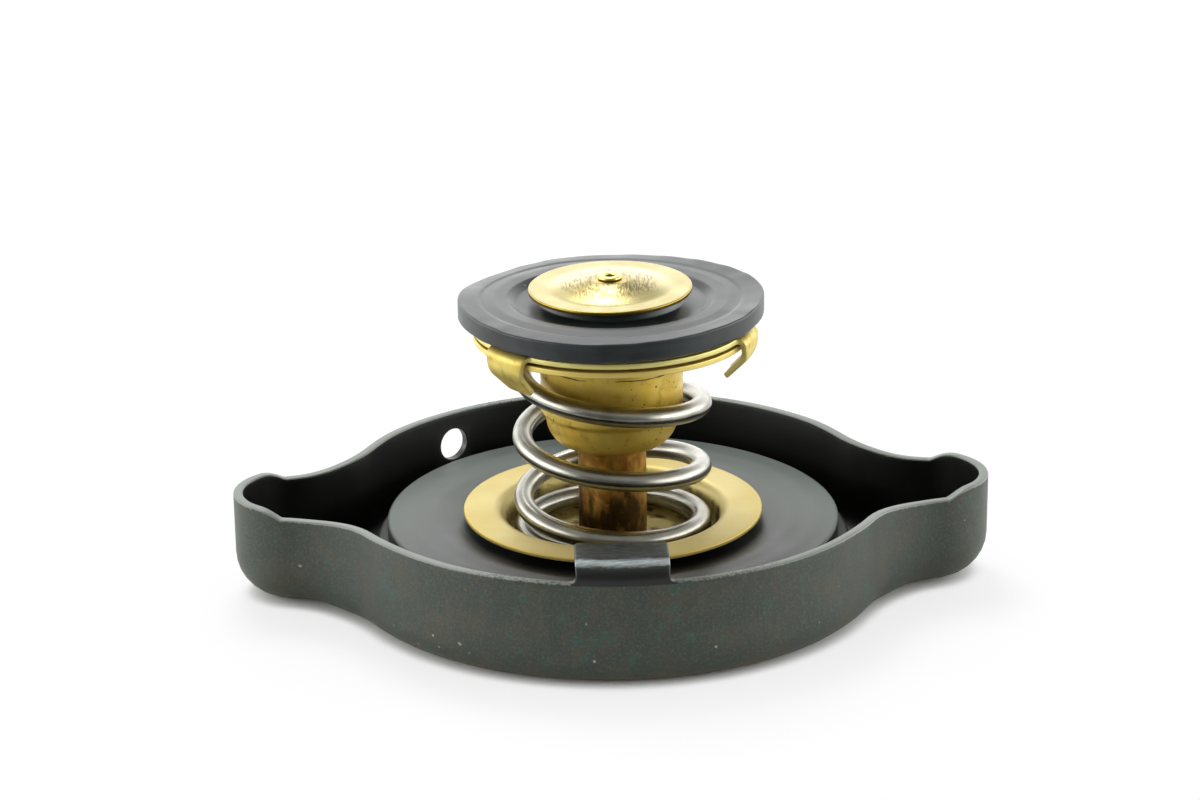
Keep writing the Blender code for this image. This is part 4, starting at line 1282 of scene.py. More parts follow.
        # painted shade: the wall is painted near black inside, the floor beyond its bend only
        # a little
        inside = np.zeros(rows.shape[:2])
        inside[inner_top:] = 1.0
        inside[inner_top + 25:] = 0.12
        skin = Skin(rows, outer_top, inner_top,
                    {"rim": rim, "tab": 0 * rim, "crest": 0 * rim, "inside": inside})
        tongue = Tongue(self.tab_path(), self.sheet, self.tab_half + self.tab_flare,
                        lambda run: self.tab_half, self.tab_flare, self.edge,
                        self.tab_corner)
        run = np.array(tongue.stations())[:, :1]
        marks = {"tab": np.clip((run - 1.9) / 1.2, 0, 1), "rim": 0.12,
                 # the crest band over the bend is worn bare and partly a painted highlight
                 "crest": np.exp(-((run - 2.3) / 0.65) ** 2),
                 # painted shade: the tabs' upright roots take the mark inside and are painted
                 # near black
                 "inside": 0.97 * np.clip((1.9 - run) / 0.5, 0, 1)}
        for middle in (quarter, 3 * quarter):
            skin.sprout(tongue, math.pi / 2 * middle / quarter - self.tab_turn,
                        middle - half, middle + half, marks)
        self.vent(skin)
        LOG.info("shell: %d rows by %d columns, two tabs, one vent hole", *rows.shape[:2])
        return make_mesh("painted_shell", *skin.whole())

    def vent(self, skin: Skin) -> None:
        """Bore the vent hole through both faces of the round wall.

        Args:
            skin: The shell's surface.
        """
        def flat(points: Grid, depth: float) -> Grid:
            """Places in the hole's plane of points on the wall.

            Args:
                points: Places on the wall.
                depth: How deep below the outer face.

            Returns:
                Places from the hole's middle, across and up.
            """
            turn = np.arctan2(points[:, 1], points[:, 0]) - self.vent_angle
            return np.column_stack([(self.radius - depth) * np.sin(turn),
                                    points[:, 2] - self.vent_height])

        def bend(flat: Grid, depth: float) -> Grid:
            """Places on the wall of points in the hole's plane.

            Args:
                flat: Places from the hole's middle.
                depth: How deep below the outer face.

            Returns:
                Places on the wall.
            """
            reach = self.radius - depth
            turn = self.vent_angle + np.arcsin(flat[..., 0] / reach)
            return np.stack([reach * np.cos(turn), reach * np.sin(turn),
                             flat[..., 1] + self.vent_height], axis=-1)

        top, low = skin.outer_top, skin.inner_top
        angle = np.unwrap(np.arctan2(skin.rows[top, :, 1], skin.rows[top, :, 0]))
        middle = int(np.argmin(np.abs(angle - self.vent_angle)))
        faces = [face[np.abs(skin.rows[face, middle, 2] - self.vent_height) < self.vent_block]
                 for face in (np.arange(top - 15, top + 1), np.arange(low, low + 16))]
        skin.bore(Hole(self.vent_radius, self.vent_lip, 7, flat, bend), self.sheet, faces,
                  np.arange(middle - 6, middle + 7), {"rim": 0.1})

    def dress(self) -> None:
        """Make, paint and mount the shell."""
        shell = self.build()
        mount(shell, Body.SHELL, "cap_shell",
              self.finish.make("stove_painted_steel"))


def mount(piece: bpy.types.Object, body: Body, node: str,
          material: bpy.types.Material) -> None:
    """Give a piece its material, its body and the solid that it stands for.

    Args:
        piece: The finished piece.
        body: The body that it rides on.
        node: The solid that it replaces.
        material: Its finish.
    """
    piece.data.materials.clear()
    piece.data.materials.append(material)
    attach(piece, body.value)
    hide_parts(node)
    LOG.info("%s rides on %s, %d faces", piece.name, body.value, len(piece.data.polygons))


@dataclass
class RivetedCore:
    """Gasket, spring cup, post and washer, riveted together through the shell."""

    stack: Stack
    gasket_radius: float = 23.87
    gasket_bore: float = 12.2
    gasket_thick: float = 2.0
    gasket_face: float = 16.17
    gasket_dip: float = 0.12
    gasket_sag: float = 0.55
    gasket_hub: float = 21.0
    gasket_slope: float = 5.0
    cup_sheet: float = 0.45
    cup_flange: float = 15.77
    cup_recess: float = 11.3
    cup_depth: float = 3.65
    cup_roll: float = 1.4
    cup_corner: float = 0.8
    bore: float = 2.5
    post_radius: float = 3.6
    post_head: float = 4.8
    tenon: float = 2.2
    rivet_head: float = 3.4
    rivet_height: float = 0.9
    washer_radius: float = 5.2
    washer_thick: float = 0.8

    def gasket(self) -> bpy.types.Object:
        """The filler neck gasket, with the faint waves of a rubber ring that was pressed.

        Returns:
            The gasket's object.
        """
        profile = flat_ring(self.gasket_bore, self.gasket_radius, self.gasket_thick,
                            (0.1, 0.35, 0.35, 0.1), 0.45)

        def waves(r: Grid, z: Grid, a: Grid) -> Pair:
            """Rings and waves of 0.04 mm, the edge wanders, the flange presses the inside.

            Args:
                r: Distance from the axis.
                z: Height in the profile.
                a: Angle round the axis.

            Returns:
                Distance and height, moved.
            """
            top = np.clip((z - 1.0) / 0.8, 0, 1)
            dip = 0.02 * (np.sin(r * TAU / 2.6) - 1) + 0.02 * (np.cos(2 * a + 0.7) - 1)
            pressed = (self.gasket_face - r) / (self.gasket_face - self.gasket_bore)
            dip = dip - self.gasket_dip * np.clip(pressed, 0, 1)
            sag = np.clip((self.gasket_hub - r) / self.gasket_slope, 0, 1) ** 2
            dip = dip - self.gasket_sag * sag
            out = np.clip((r - 22.0) / 1.8, 0, 1)
            return r - out * 0.02 * (1 + np.sin(3 * a)), z + top * dip
        # painted shade: the mark flange_shade darkens the rubber towards the cup's flange
        return lathe("neck_gasket", profile, 288, self.stack.gasket, waves, marks={
            "flange_shade": lambda r, z: np.clip((22.0 - r) / 5.0, 0, 1)})

    def cup(self) -> bpy.types.Object:
        """The spring cup: flat flange, rolled edge, straight wall and recessed floor.

        Returns:
            The cup's object.
        """
        low = self.cup_depth - self.cup_sheet
        wall = self.cup_recess + self.cup_sheet
        profile = profile_of([
            (self.bore, -self.cup_sheet),
            (wall, -self.cup_sheet, self.cup_corner + self.cup_sheet),
            (wall, low, self.cup_roll - self.cup_sheet),
            (self.cup_flange, low, 0.08),
            (self.cup_flange, self.cup_depth, 0.16),
            (self.cup_recess, self.cup_depth, self.cup_roll),
            (self.cup_recess, 0.0, self.cup_corner),
            (self.bore, 0.0)], 0.5)
        rim = self.cup_flange - 0.18
        depth = self.cup_depth
        return lathe("spring_cup_brass", profile, 256, self.stack.cup_floor, marks={
            "edge": lambda r, z: np.clip((r - rim) / 0.1, 0, 1) * (z > depth - 0.2),
            "soil_and_shade": lambda r, z: (np.clip((depth - 0.25 - z) / 0.9, 0, 1)
                                  + 0.35 * np.clip((12.6 - r) / 0.8, 0, 1))})

    def post(self) -> bpy.types.Object:
        """The post with its captive head, its shoulder and the peened end of its tenon.

        Returns:
            The post's object.
        """
        stack = self.stack
        washer = stack.washer - 0.3 - stack.post_shoulder
        end = washer - self.rivet_height
        stand = stack.head_underside - stack.post_shoulder + 1.0
        slope = (self.post_head - self.post_radius) * math.tan(math.radians(8))
        top = stack.post_top - stack.post_shoulder
        profile = profile_of([
            (0.0, end), (self.rivet_head, end, 0.6),
            (self.rivet_head, washer, 0.08), (self.tenon, washer),
            (self.tenon, 0.0), (self.post_radius, 0.0, 0.15),
            (self.post_radius, stand, 0.1), (self.post_head, stand + slope, 0.06),
            (self.post_head, top, 0.08), (0.0, top)], 0.4, closed=False)

        def worn(r: Grid, z: Grid, a: Grid) -> Pair:
            """Where the bell slides the shaft is rubbed 0.03 mm thinner, more to one side."""
            where = np.exp(-((z - stand + 2.4) / 1.5) ** 2)
            return r - (r > 1.0) * where * 0.03 * (1 + np.cos(a + 1.2)), z
        return lathe("post_brass", profile, 128, stack.post_shoulder, worn)

    def washer(self) -> bpy.types.Object:
        """The washer under the peened end, its upper edge rounded by the press.

        Returns:
            The washer's object.
        """
        profile = flat_ring(self.bore, self.washer_radius, self.washer_thick,
                            (0.08, 0.2, 0.06, 0.06), 0.4)
        return lathe("peening_washer", profile, 96, self.stack.washer)

    def dress(self) -> None:
        """Make and mount the four pieces."""
        rubber = MouldedRubber(colour="#171C19", bloom="#37403A", roughness=0.4, ring=1.1,
                               ring_depth=0.8, bloom_share=0.6, painted_back_sheen=0.27)
        cup = Brass(oxide=0.5, colour="#D0C07C", shade="#C4AF60", stain="#2A2410",
                    edge="#D9BE62", roughness=0.46, tone=9.0, stain_from=0.74,
                    stain_to=0.92, soil_and_shade_gain=0.2, ring=0.35, ring_depth=0.25)
        for piece, node, slot, finish, name in (
                (self.gasket(), "gasket", "gasket_rubber", rubber, "moulded_rubber_ring"),
                (self.cup(), "spring_cup", "bright_brass", cup, "spun_brass"),
                (self.post(), "centre_post", "aged_brass", TarnishedBar(),
                 "tarnished_brass_bar"),
                (self.washer(), "rivet_washer", "zinc_washer", ZincPlate(),
                 "zinc_plated_washer_steel")):
            mount(piece, Body.CORE, node, finish.make(name))


@dataclass
class Coil:
    """A compression spring with dead turns at both ends."""

    name: str
    node: str
    slot: str
    body: Body
    wire: float
    radius: float
    top: float
    bottom: float
    turns: float
    dead_top: float
    dead: float
    phase: float
    ease_top: float
    ease_bottom: float
    per_turn: int
    sides: int
    joint: str
    anchor: float
    keep: float
    winding: Winding = Winding.LEFT_HAND
    finish: DrawnSteelWire = field(default_factory=DrawnSteelWire)

    def fallen(self, share: Grid) -> Grid:
        """Share of the height fallen at a share of the turns.

        The pitch grows evenly over the eased share at the top, stays, and shrinks
        evenly over the one at the bottom, so the height follows two parabolas joined
        by a straight.

        Args:
            share: Share of the turns.

        Returns:
            Share of the height.
        """
        a, b = self.ease_top, self.ease_bottom
        steep = 1 / (1 - a / 2 - b / 2)
        first = steep * share ** 2 / (2 * a)
        last = 1 - steep * (1 - share) ** 2 / (2 * b)
        between = steep * (share - a / 2)
        return np.where(share < a, first, np.where(share > 1 - b, last, between))

    def build(self) -> bpy.types.Object:
        """Carry the round wire along its helix.

        A point of the wire is path + r (outward cos p + up sin p), where outward points
        away from the axis and up stands square on it and on the path.  The ends are cut
        square and close on their middles.

        Returns:
            The spring's object.
        """
        total = self.turns + self.dead_top + self.dead
        count = round(total * self.per_turn)
        turn = np.linspace(-self.dead_top, self.turns + self.dead, count + 1)
        angle = self.phase + self.winding.value * turn * TAU
        drop = self.fallen(np.clip(turn / self.turns, 0, 1))
        path = np.column_stack([self.radius * np.cos(angle), self.radius * np.sin(angle),
                                self.top + (self.bottom - self.top) * drop])
        ahead = np.gradient(path, axis=0)
        ahead /= np.linalg.norm(ahead, axis=1)[:, None]
        outward = np.column_stack([np.cos(angle), np.sin(angle), np.zeros(len(angle))])
        up = np.cross(outward, ahead)
        up *= np.sign(up[:, 2:])
        r = self.wire / 2
        bevel = 0.12 * r
        place = np.concatenate([[0, 0, 0], np.arange(count + 1), [count] * 3])
        size = np.concatenate([[0.0, r - bevel, r - bevel / 3], np.full(count + 1, r),
                               [r - bevel / 3, r - bevel, 0.0]])
        shift = np.concatenate([[-bevel, -bevel, -bevel / 3], np.zeros(count + 1),
                                [bevel / 3, bevel, bevel]])
        p = np.arange(self.sides) * TAU / self.sides
        centre = path[place] + ahead[place] * shift[:, None]
        points = (centre[:, None] + size[:, None, None] * (
            outward[place][:, None] * np.cos(p)[:, None]
            + up[place][:, None] * np.sin(p)[:, None]))
        run = np.linspace(0, total * TAU * self.radius, count + 1)[place]
        shape = points.shape[:2]
        wire = np.stack([np.broadcast_to(r * np.cos(p), shape),
                         np.broadcast_to(r * np.sin(p), shape),
                         np.broadcast_to(run[:, None], shape)], axis=-1)
        # painted reflection: a dark line along each turn, a little below the wire's outward
        # side
        from_painted_reflection = (p + 0.16 + math.pi) % TAU - math.pi
        painted_reflection_and_pits = np.broadcast_to(np.exp(-(from_painted_reflection / 0.08) ** 2), shape)
        table = wrap(np.arange(shape[0] * shape[1]).reshape(shape))
        return make_mesh(self.name, points.reshape(-1, 3), table_quads(table),
                         {"wire": wire.reshape(-1, 3), "painted_reflection_and_pits": painted_reflection_and_pits.ravel()}, sharp=50)

    def dress(self) -> None:
        """Make the spring, mount it and give it a mesh of its own."""
        coil = self.build()
        mount(coil, self.body, self.node, self.finish.make("drawn_" + self.slot))
        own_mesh(coil)


@dataclass
class PressureValve:
    """Bell, claw plate and seal, which slide on the post."""

    stack: Stack
    sheet: float = 0.6
    bell_bore: float = 3.85
    bell_radius: float = 7.45
    bell_low_radius: float = 6.75
    bell_step: float = 3.5
    bell_height: float = 11.8807
    bell_flange: float = 14.4
    cone: float = math.radians(8)
    shoulder: float = 3.0
    roll: float = 1.2
    clearance: float = 0.3
    plate_bore: float = 1.35
    flow_radius: float = 0.9
    flow_circle: float = 3.4
    flow_lip: float = 0.06
    flow_block: float = 1.5
    claw_phase: float = math.radians(-19.5)
    claw_columns: int = 14
    gap_columns: int = 46
    claw_root: float = 3.1
    claw_tip: float = 1.75
    claw_drop: float = 0.6
    claw_curl_radius: float = 2.0
    claw_curl: float = math.radians(45)
    claw_tongue: float = 2.6
    edge: float = 0.12
    seal_radius: float = 15.875
    seal_thick: float = 2.4
    seal_bore: float = 5.2
    dish: float = 9.9
    bead: float = 7.4
    bead_rise: float = 0.42
    groove: tuple[float, float] = (13.8, 13.45)
    wave: tuple[float, float] = (12.2, 10.8)
    lifts: tuple[tuple[float, float], ...] = (
        (-38, 0.23), (-50, 0.2), (-62, 0.08), (-75, -0.04), (-90, -0.14), (-104, -0.22),
        (-116, -0.18), (-130, -0.14), (-146, 0.02), (-160, 0.13), (176, 0.08), (166, 0.0),
        (157, -0.32), (147, -0.5), (134, -0.57), (122, -0.42), (108, -0.25), (90, -0.22),
        (72, -0.12), (60, 0.01), (45, 0.15), (30, 0.29), (15, 0.42), (-5, 0.45),
        (-22, 0.42))

    def bell(self) -> bpy.types.Object:
        """The drawn bell: shallow cone, round shoulder, step, wall, roll and flange.

        Returns:
            The bell's object.
        """
        s, wall, high = self.sheet, self.bell_radius, self.bell_height
        low, step = self.bell_low_radius, self.bell_step
        slope = math.tan(self.cone)
        rise = s / math.cos(self.cone)
        profile = profile_of([
            (self.bell_bore, 0.0, 0.1),
            (low, slope * (low - self.bell_bore), self.shoulder),
            (low + 0.2, step, 0.4), (wall, step + 0.4, 0.4),
            (wall, high, self.roll), (self.bell_flange, high, 0.12),
            (self.bell_flange, high + s, 0.12),
            (wall - s, high + s, self.roll + s), (wall - s, step + 0.65, 0.4),
            (low + 0.2 - s, step + 0.25, 0.4),
            (low - s, rise + slope * (low - s - self.bell_bore), self.shoulder - s),
            (self.bell_bore, rise, 0.1)], 0.4)
        rim = self.bell_flange - 0.14

        def drawn(r: Grid, z: Grid, a: Grid) -> Pair:
            """Shallow rings from the drawing die, 0.025 mm deep, waving round the wall."""
            wave = 0.012 * np.sin(z * 4.2 + 0.8 * np.sin(a)) * np.exp(-((z - 8) / 5) ** 2)
            return r + (r > wall - s / 2) * (z < high - 0.2) * wave, z
        return lathe("drawn_bell", profile, 192, self.stack.bell, drawn, marks={
            "edge": lambda r, z: np.clip((r - rim) / 0.08, 0, 1)})

    def claw_path(self) -> SheetPath:
        """Line of a claw: over the flange's edge, down beside it and curled under.

        Returns:
            The path of its outer face.
        """
        wrap_radius = self.sheet + self.clearance
        return SheetPath((self.bell_flange, self.sheet), 0.0, -1.0,
                         [(wrap_radius * math.pi / 2, -math.pi / 2), (self.claw_drop, 0.0),
                          (self.claw_curl_radius * self.claw_curl, -self.claw_curl),
                          (self.claw_tongue, 0.0)])

    def claw_plate(self) -> bpy.types.Object:
        """The plate under the seal with its flow holes and its three claws.

        Its rows run from the bore out over the top, round the edge and back below.
        The columns are even near the middle and drift, as they go out, to where the
        claws' sides are.  Each flow hole takes the place of a block on both faces.

        Returns:
            The plate's object.
        """
        s, edge = self.sheet, self.edge
        total = 3 * (self.claw_columns + self.gap_columns)
        pitch = self.claw_columns + self.gap_columns
        half = self.claw_root / (self.bell_flange + s + self.clearance)
        number = np.arange(total)
        even = self.claw_phase + (number - self.claw_columns / 2) * TAU / total
        inside = number % pitch
        start = self.claw_phase - half + number // pitch * TAU / 3
        claw = start + inside * 2 * half / self.claw_columns
        gap = start + 2 * half + (inside - self.claw_columns) * (
            TAU / 3 - 2 * half) / self.gap_columns
        warped = np.where(inside < self.claw_columns, claw, gap)
        top = np.concatenate([[self.plate_bore], np.linspace(1.8, self.bell_flange - edge,
                                                             34)])
        across = edge_rows(s, edge)
        edge_r = self.bell_flange - edge + across[:, 1]
        radii = np.concatenate([top, edge_r, top[::-1]])
        heights = np.concatenate([np.full(len(top), s), s - across[:, 0],
                                  np.zeros(len(top))])
        share = np.clip((radii - 6.0) / 7.0, 0, 1)[:, None]
        angles = even + (warped - even) * share
        rows = np.stack([radii[:, None] * np.cos(angles), radii[:, None] * np.sin(angles),
                         np.broadcast_to(heights[:, None], angles.shape)], axis=-1)
        edges = np.clip((radii[:, None] - self.bell_flange + 0.13) / 0.1, 0, 1)
        skin = Skin(rows, len(top) - 1, len(top) + len(across),
                    {"edge": edges * np.ones((1, total))})
        path = self.claw_path()
        tongue = Tongue(path, s, self.claw_root, lambda run: float(np.interp(
            run, [0.3, path.length], [self.claw_root - 0.25, self.claw_tip])), 0.25, edge, 0.3)
        # painted highlight: the claws' sides take the mark edge too
        side = np.zeros(2 * (self.claw_columns + 1 + len(across)))
        side[self.claw_columns + 2:self.claw_columns + len(across)] = 0.8
        side[-len(across) + 1:-1] = 0.8
        for k in range(3):
            skin.sprout(tongue, self.claw_phase + k * TAU / 3, k * pitch,
                        k * pitch + self.claw_columns, {"edge": side})
        near = np.flatnonzero(np.abs(top - self.flow_circle) < self.flow_block)
        faces = (near, (len(rows) - 1 - near)[::-1])
        for k in range(4):
            angle = k * math.pi / 2
            middle = self.flow_circle * np.array([math.cos(angle), math.sin(angle)])
            column = round((angle - even[0]) / (TAU / total)) % total
            hole = Hole(self.flow_radius, self.flow_lip, 5,
                        lambda points, depth: points[:, :2] - middle,
                        lambda flat, depth: np.concatenate([flat + middle, np.full(
                            flat.shape[:-1] + (1,), s - depth)], axis=-1))
            skin.bore(hole, s, faces, np.arange(column - 13, column + 14) % total, {})
        cloud, quads, marks = skin.whole()
        cloud[:, 2] += self.stack.plate
        reach = np.hypot(cloud[:, 0], cloud[:, 1])
        wide = self.bell_flange / np.maximum(reach, 0.1)
        marks["lathe"] = np.column_stack([cloud[:, 0] * wide, cloud[:, 1] * wide, reach])
        return make_mesh("claw_plate_brass", cloud, quads, marks)

    def seal(self) -> bpy.types.Object:
        """The rubber seal: dish round the disc, moulded ring, thinned lower edge.

        Returns:
            The seal's object.
        """
        thick = self.seal_thick
        low = thick - 0.55
        profile = profile_of([
            (self.seal_bore, 0.0, 0.1), (self.seal_radius - 1.1, 0.0, 0.3),
            (self.seal_radius, 0.5, 0.2), (self.seal_radius, thick, 0.22),
            (self.groove[0], thick, 0.5), (self.groove[1], thick - 0.09, 0.3),
            (self.wave[0], thick + 0.02, 1.2), (self.wave[1], thick - 0.02, 0.5),
            (self.dish, low, 0.5), (self.bead, low, 0.3),
            (self.bead - 0.5, thick + self.bead_rise, 0.2),
            (self.seal_bore, thick + self.bead_rise, 0.15)], 0.3)

        def slack(r: Grid, z: Grid, a: Grid) -> Pair:
            """Lift or droop of the edge, fading inward with the cube of the distance.

            Its height round the edge is the mean of the stated lifts, each weighted by
            a bell curve of its distance from the angle.

            Args:
                r: Distance from the axis.
                z: Height in the profile.
                a: Angle round the axis.

            Returns:
                Distance and height, moved.
            """
            stated = np.array(self.lifts)
            away = (a[0][:, None] - np.radians(stated[:, 0]) + math.pi) % TAU - math.pi
            weight = np.exp(-(away / 0.11) ** 2)
            lift = (weight * stated[:, 1]).sum(axis=1) / weight.sum(axis=1)
            return r, z + np.clip((r - 10.0) / 5.875, 0, 1) ** 3 * lift
        return lathe("pressure_seal_rubber", profile, 256, self.stack.seal, slack)

    def dress(self) -> None:
        """Make and mount the bell, the plate and the seal."""
        bell = Brass(oxide=0.4, colour="#DCC05C", shade="#C9A83C", stain="#5A4216",
                     edge="#E6CF74", roughness=0.38, tone=2.6, stain_from=0.54,
                     stain_to=0.86, stain_size=1.7, ring=0.5, ring_depth=0.7, pore=0.7,
                     pore_reach=0.2, dark_line_height=24.5)
        plate = Brass(oxide=0.4, colour="#D9C56C", shade="#C4AB50", stain="#5A4412",
                      edge="#E4D98A", roughness=0.46, tone=1.6, stain_from=0.54,
                      stain_to=0.9, stain_size=1.2, ring=0.3, ring_depth=0.4, pore=1.1)
        rubber = MouldedRubber(roughness=0.34, ring=0.7, ring_depth=1.0, bloom_share=0.8)
        for piece, node, slot, finish, name in (
                (self.bell(), "bell", "dull_brass", bell, "deep_drawn_brass"),
                (self.claw_plate(), "claw_plate", "plate_brass", plate,
                 "blanked_brass_sheet"),
                (self.seal(), "pressure_seal", "seal_rubber", rubber,
                 "moulded_seal_rubber")):
            mount(piece, Body.PRESSURE_VALVE, node, finish.make(name))


@dataclass
class VacuumValve:
    """Disc, tubular rivet and retainer, which lean together in the plate's hole."""

    stack: Stack
    disc_radius: float = 8.5
    disc_sheet: float = 0.4
    disc_flat: float = 2.1
    dome: float = 0.84
    bore: float = 1.05
    stem: float = 0.75
    head: float = 1.28
    head_height: float = 0.3
    stem_bore: float = 0.5
    bore_depth: float = 1.0
    foot: float = 1.3
    foot_height: float = 0.4
    retainer_radius: float = 2.7
    retainer_sheet: float = 0.35

    def disc(self) -> bpy.types.Object:
        """The vacuum disc: flat rim, hollow flank and low crown round the rivet.

        Returns:
            The disc's object.
        """
        s, rise = self.disc_sheet, self.dome
        foot = self.disc_radius - self.disc_flat
        crown = 2 * self.bore
        profile = profile_of([
            (self.bore, s + rise), (crown, s + rise, 1.0),
            (foot, s, 3.2), (self.disc_radius, s, 0.12),
            (self.disc_radius, 0.0, 0.08), (foot, 0.0, 3.2),
            (crown, rise, 1.0), (self.bore, rise)], 0.3)
        rim = self.disc_radius - 0.16
        return lathe("vacuum_disc_brass", profile, 224, self.stack.disc,
                     marks={"edge": lambda r, z: np.clip((r - rim) / 0.1, 0, 1),
                            "slope": lambda r, z: (z > 0.2) * np.exp(-((r - 3.4) / 1.9) ** 2)},
                     place=self.stack.tilt)

    def rivet(self) -> bpy.types.Object:
        """The tubular rivet: foot, shank, rolled head and its bore.

        Returns:
            The rivet's object.
        """
        high = self.stack.stem_top - self.stack.stem_foot
        under = high - self.head_height
        profile = profile_of([
            (0.0, 0.0), (self.foot, 0.0, 0.1),
            (self.foot, self.foot_height, 0.1), (self.stem, self.foot_height),
            (self.stem, under), (self.head, under, 0.1),
            (self.head, high, 0.14), (self.stem_bore, high, 0.14),
            (self.stem_bore, high - self.bore_depth),
            (0.0, high - self.bore_depth)], 0.3, closed=False)
        # painted shade: the floor of the rivet's bore is stained dark
        return lathe("vacuum_rivet", profile, 72, self.stack.stem_foot,
                     marks={"soil_and_shade": lambda r, z: 3.0 * (r < 0.42) * (z > high - 1.2)},
                     place=self.stack.tilt)

    def retainer(self) -> bpy.types.Object:
        """The washer that the vacuum spring pushes on.

        Returns:
            The washer's object.
        """
        profile = flat_ring(self.bore, self.retainer_radius, self.retainer_sheet,
                            (0.05, 0.08, 0.08, 0.05), 0.3)
        return lathe("spring_retainer_washer", profile, 72, self.stack.retainer,
                     place=self.stack.tilt)

    def dress(self) -> None:
        """Make and mount the three pieces."""
        disc = Brass(colour="#BDB27C", shade="#AE9F60", stain="#6A5418", edge="#A08A3C",
                     roughness=0.24, tone=4.0, stain_from=0.7, stain_to=1.0, ring=0.3,
                     hatch=0.16)
        rivet = Brass(colour="#EFDD95", shade="#DCC26A", stain="#241A08", edge="#F6E69C",
                      roughness=0.22, soil_and_shade_gain=1.0)
        washer = Brass(colour="#D2BC66", shade="#B89A3E", roughness=0.36)
        for piece, node, slot, finish, name in (
                (self.disc(), "vacuum_disc", "disc_brass", disc, "brushed_brass_sheet"),
                (self.rivet(), "vacuum_stem", "stem_brass", rivet, "rolled_brass_tube"),
                (self.retainer(), "spring_retainer", "retainer_brass", washer,
                 "stamped_brass_washer")):
            mount(piece, Body.VACUUM_VALVE, node, finish.make(name))


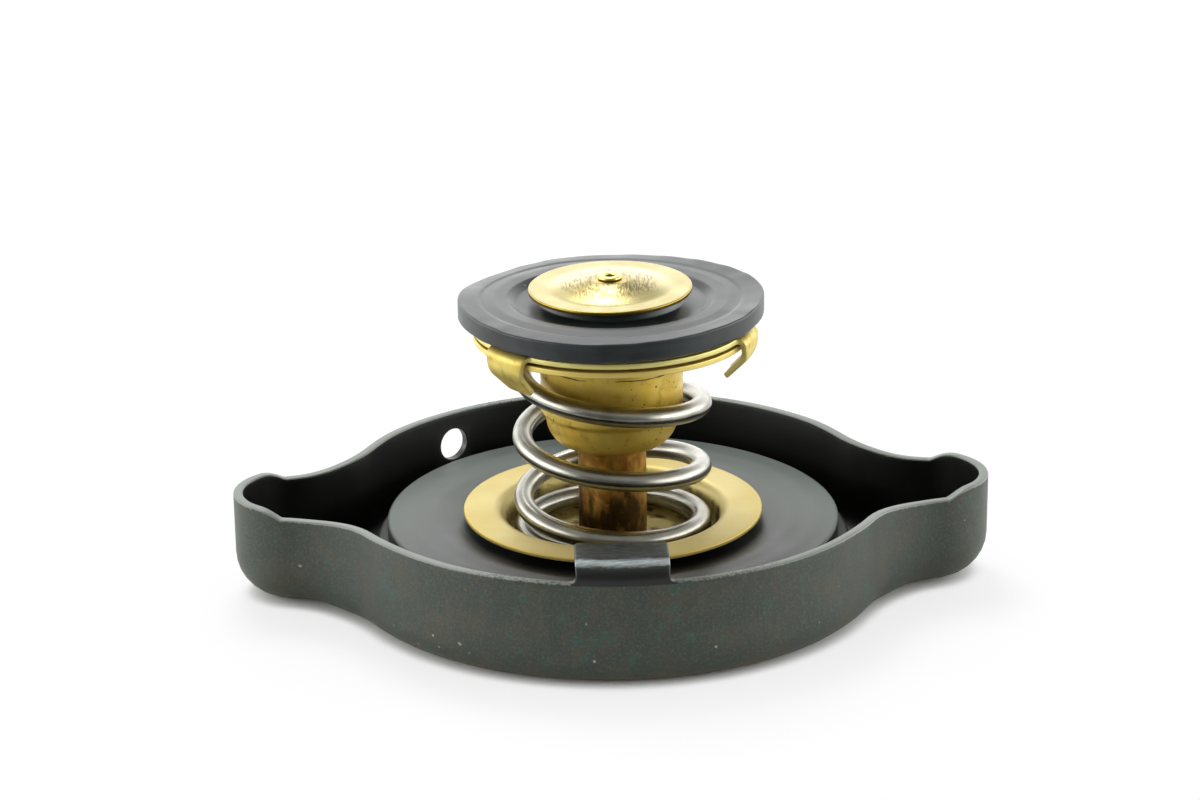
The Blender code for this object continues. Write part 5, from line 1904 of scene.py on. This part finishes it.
@dataclass
class Studio:
    """Pale floor, soft light from above and behind, and the photograph's camera."""

    position: tuple[float, float, float] = (-18.13, -314.44, 128.96)
    heading: float = math.radians(3.075)
    pitch: float = math.radians(19.075)
    roll: float = math.radians(0.635)
    lens: float = 95.51
    floor_colour: str = "#FBFDFB"
    floor_shade: str = "#5A5A5A"
    floor_own: float = 0.72
    front: float = 0.22
    side: float = 5.8
    back: float = 3.0
    top: float = 0.62

    def floor(self) -> None:
        """A plain floor, which shows white to the camera but keeps its shadows."""
        mesh = bpy.data.meshes.new("floor")
        side = 3000.0
        corners = np.array([(-side, -side, 0), (side, -side, 0), (side, side, 0),
                            (-side, side, 0)], float) * MM
        mesh.from_pydata(corners.tolist(), [], [(0, 1, 2, 3)])
        floor = bpy.data.objects.new("floor", mesh)
        bpy.context.scene.collection.objects.link(floor)
        board = bpy.data.materials.new("matt_white_board")
        board.use_nodes = True
        g = Graph(board.node_tree)
        # in front, outside the picture, the board lies in the shade of the camera stand
        place = g.add("TexCoord", out="Object")
        near = g.add("SeparateXYZ", (place,), out="Y")
        shade = g.add("MapRange", (near, -0.052, -0.085))
        skin = g.add("MixRGB", (shade, srgb(self.floor_colour), srgb(self.floor_shade)))
        surface = g.nodes["Principled BSDF"]
        g.fill(surface, {"Base Color": skin, "Roughness": 0.75})
        glow = g.add("Emission", (srgb("#FFFFFF"), 1.0))
        seen = g.add("LightPath", out="Is Camera Ray")
        # close to the foot of the cap the board shows its own dark contact shadow
        open_sky = g.add("AmbientOcclusion", {"Distance": 2.5 * MM}, out="AO", samples=8)
        own = g.add("MapRange", (open_sky, 0.3, 0.62, 0.0, self.floor_own))
        # the shade is only mirrored: the camera sees white before it begins
        clear = g.add("MapRange", (near, -0.044, -0.055))
        own = g.add("Math", (own, clear), operation="MAXIMUM")
        share = g.add("Math", (seen, own), operation="MULTIPLY")
        both = g.add("MixShader", (share, surface.outputs[0], glow))
        g.fill(g.nodes["Material Output"], {"Surface": both})
        mesh.materials.append(board)

    def light(self) -> None:
        """A light tent that is bright low behind, dim in front, and an overhead box."""
        world = bpy.data.worlds.new("light_tent")
        world.use_nodes = True
        world.node_tree.nodes.clear()
        g = Graph(world.node_tree)
        where = g.add("TexCoord", out="Generated")
        x, y, z = (g.add("SeparateXYZ", (where,), out=axis) for axis in "XYZ")
        aside = g.add("Math", (x,), operation="ABSOLUTE")
        level: object = self.front
        for value, start, end, last in ((y, -0.8, -0.2, self.back),
                                        (aside, 0.65, 0.88, self.side),
                                        (z, 0.25, 0.6, self.top)):
            level = g.add("MapRange", (value, start, end, level, last),
                          interpolation_type="SMOOTHSTEP")
        tent = g.add("Background", {"Strength": level})
        plain = g.add("Background", {"Color": (1.0, 1.0, 1.0, 1.0)})
        seen = g.add("LightPath", out="Is Camera Ray")
        both = g.add("MixShader", (seen, tent, plain))
        g.fill(g.nodes.new("ShaderNodeOutputWorld"), {"Surface": both})
        bpy.context.scene.world = world
        self.soft_box("top_box", (-60.0, 330.0, 470.0), 220.0, 1.3)

    def soft_box(self, name: str, place: tuple[float, float, float], size: float,
                 watts: float) -> None:
        """Hang a square lamp that faces the cap.

        Args:
            name: Name of the lamp.
            place: Its middle in mm.
            size: Its side in mm.
            watts: Its power.
        """
        data = bpy.data.lights.new(name, "AREA")
        data.shape = "SQUARE"
        data.size = size * MM
        data.energy = watts
        lamp = bpy.data.objects.new(name, data)
        lamp.location = Vector(place) * MM
        aim = Vector((0.0, 0.0, 15.0)) - Vector(place)
        lamp.rotation_mode = "QUATERNION"
        lamp.rotation_quaternion = aim.to_track_quat("-Z", "Y")
        bpy.context.scene.collection.objects.link(lamp)

    def camera(self) -> None:
        """Set the camera by its place, heading, pitch and roll."""
        ahead = Vector((math.sin(self.heading) * math.cos(self.pitch),
                        math.cos(self.heading) * math.cos(self.pitch),
                        -math.sin(self.pitch)))
        level = ahead.cross(Vector((0.0, 0.0, 1.0))).normalized()
        down = ahead.cross(level)
        right = math.cos(self.roll) * level + math.sin(self.roll) * down
        up = math.sin(self.roll) * level - math.cos(self.roll) * down
        data = bpy.data.cameras.new("camera")
        data.lens = self.lens
        data.sensor_width = 36.0
        data.sensor_fit = "HORIZONTAL"
        data.clip_start = 0.01
        data.clip_end = 20.0
        camera = bpy.data.objects.new("camera", data)
        turn = Matrix((right, up, -ahead)).transposed()
        camera.matrix_world = Matrix.Translation(Vector(self.position) * MM) @ turn.to_4x4()
        bpy.context.scene.collection.objects.link(camera)
        bpy.context.scene.camera = camera

    def set_up(self) -> None:
        """Build the studio."""
        self.camera()
        self.floor()
        self.light()
        bpy.context.scene.view_settings.view_transform = "Standard"


def springs(stack: Stack) -> list[Coil]:
    """The main spring and the vacuum spring.

    Args:
        stack: Heights of their seats.

    Returns:
        Both coils.
    """
    main = Coil("main_spring_wire", "main_spring", "spring_steel", Body.CORE, wire=2.1,
                radius=9.42, top=stack.flange_underside - 1.35,
                bottom=stack.cup_floor + 1.35, turns=3.389, dead_top=0.0, dead=0.8,
                phase=math.radians(40), ease_top=0.002, ease_bottom=0.32, per_turn=96,
                sides=40, joint="pressure_slide", anchor=5.0, keep=0.7036)
    vacuum = Coil("vacuum_spring_wire", "vacuum_spring", "fine_spring_steel",
                  Body.PRESSURE_VALVE, wire=0.35, radius=1.9, top=stack.plate - 0.475,
                  bottom=stack.retainer + 0.825, turns=2.6, dead_top=0.4, dead=0.4,
                  phase=0.0, ease_top=0.10, ease_bottom=0.10, per_turn=48, sides=12,
                  joint="vacuum_slide", anchor=stack.plate - 0.3, keep=0.546)
    return [main, vacuum]


def main() -> None:
    """Load the solids, dress each sub-assembly in order and set up the studio."""
    logging.basicConfig(level=logging.INFO, format="%(name)s: %(message)s")
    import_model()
    stack = Stack()
    PressedShell(stack).dress()
    RivetedCore(stack).dress()
    for coil in springs(stack):
        coil.dress()
    PressureValve(stack).dress()
    VacuumValve(stack).dress()
    Studio().set_up()
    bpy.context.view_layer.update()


if __name__ == "__main__":
    main()
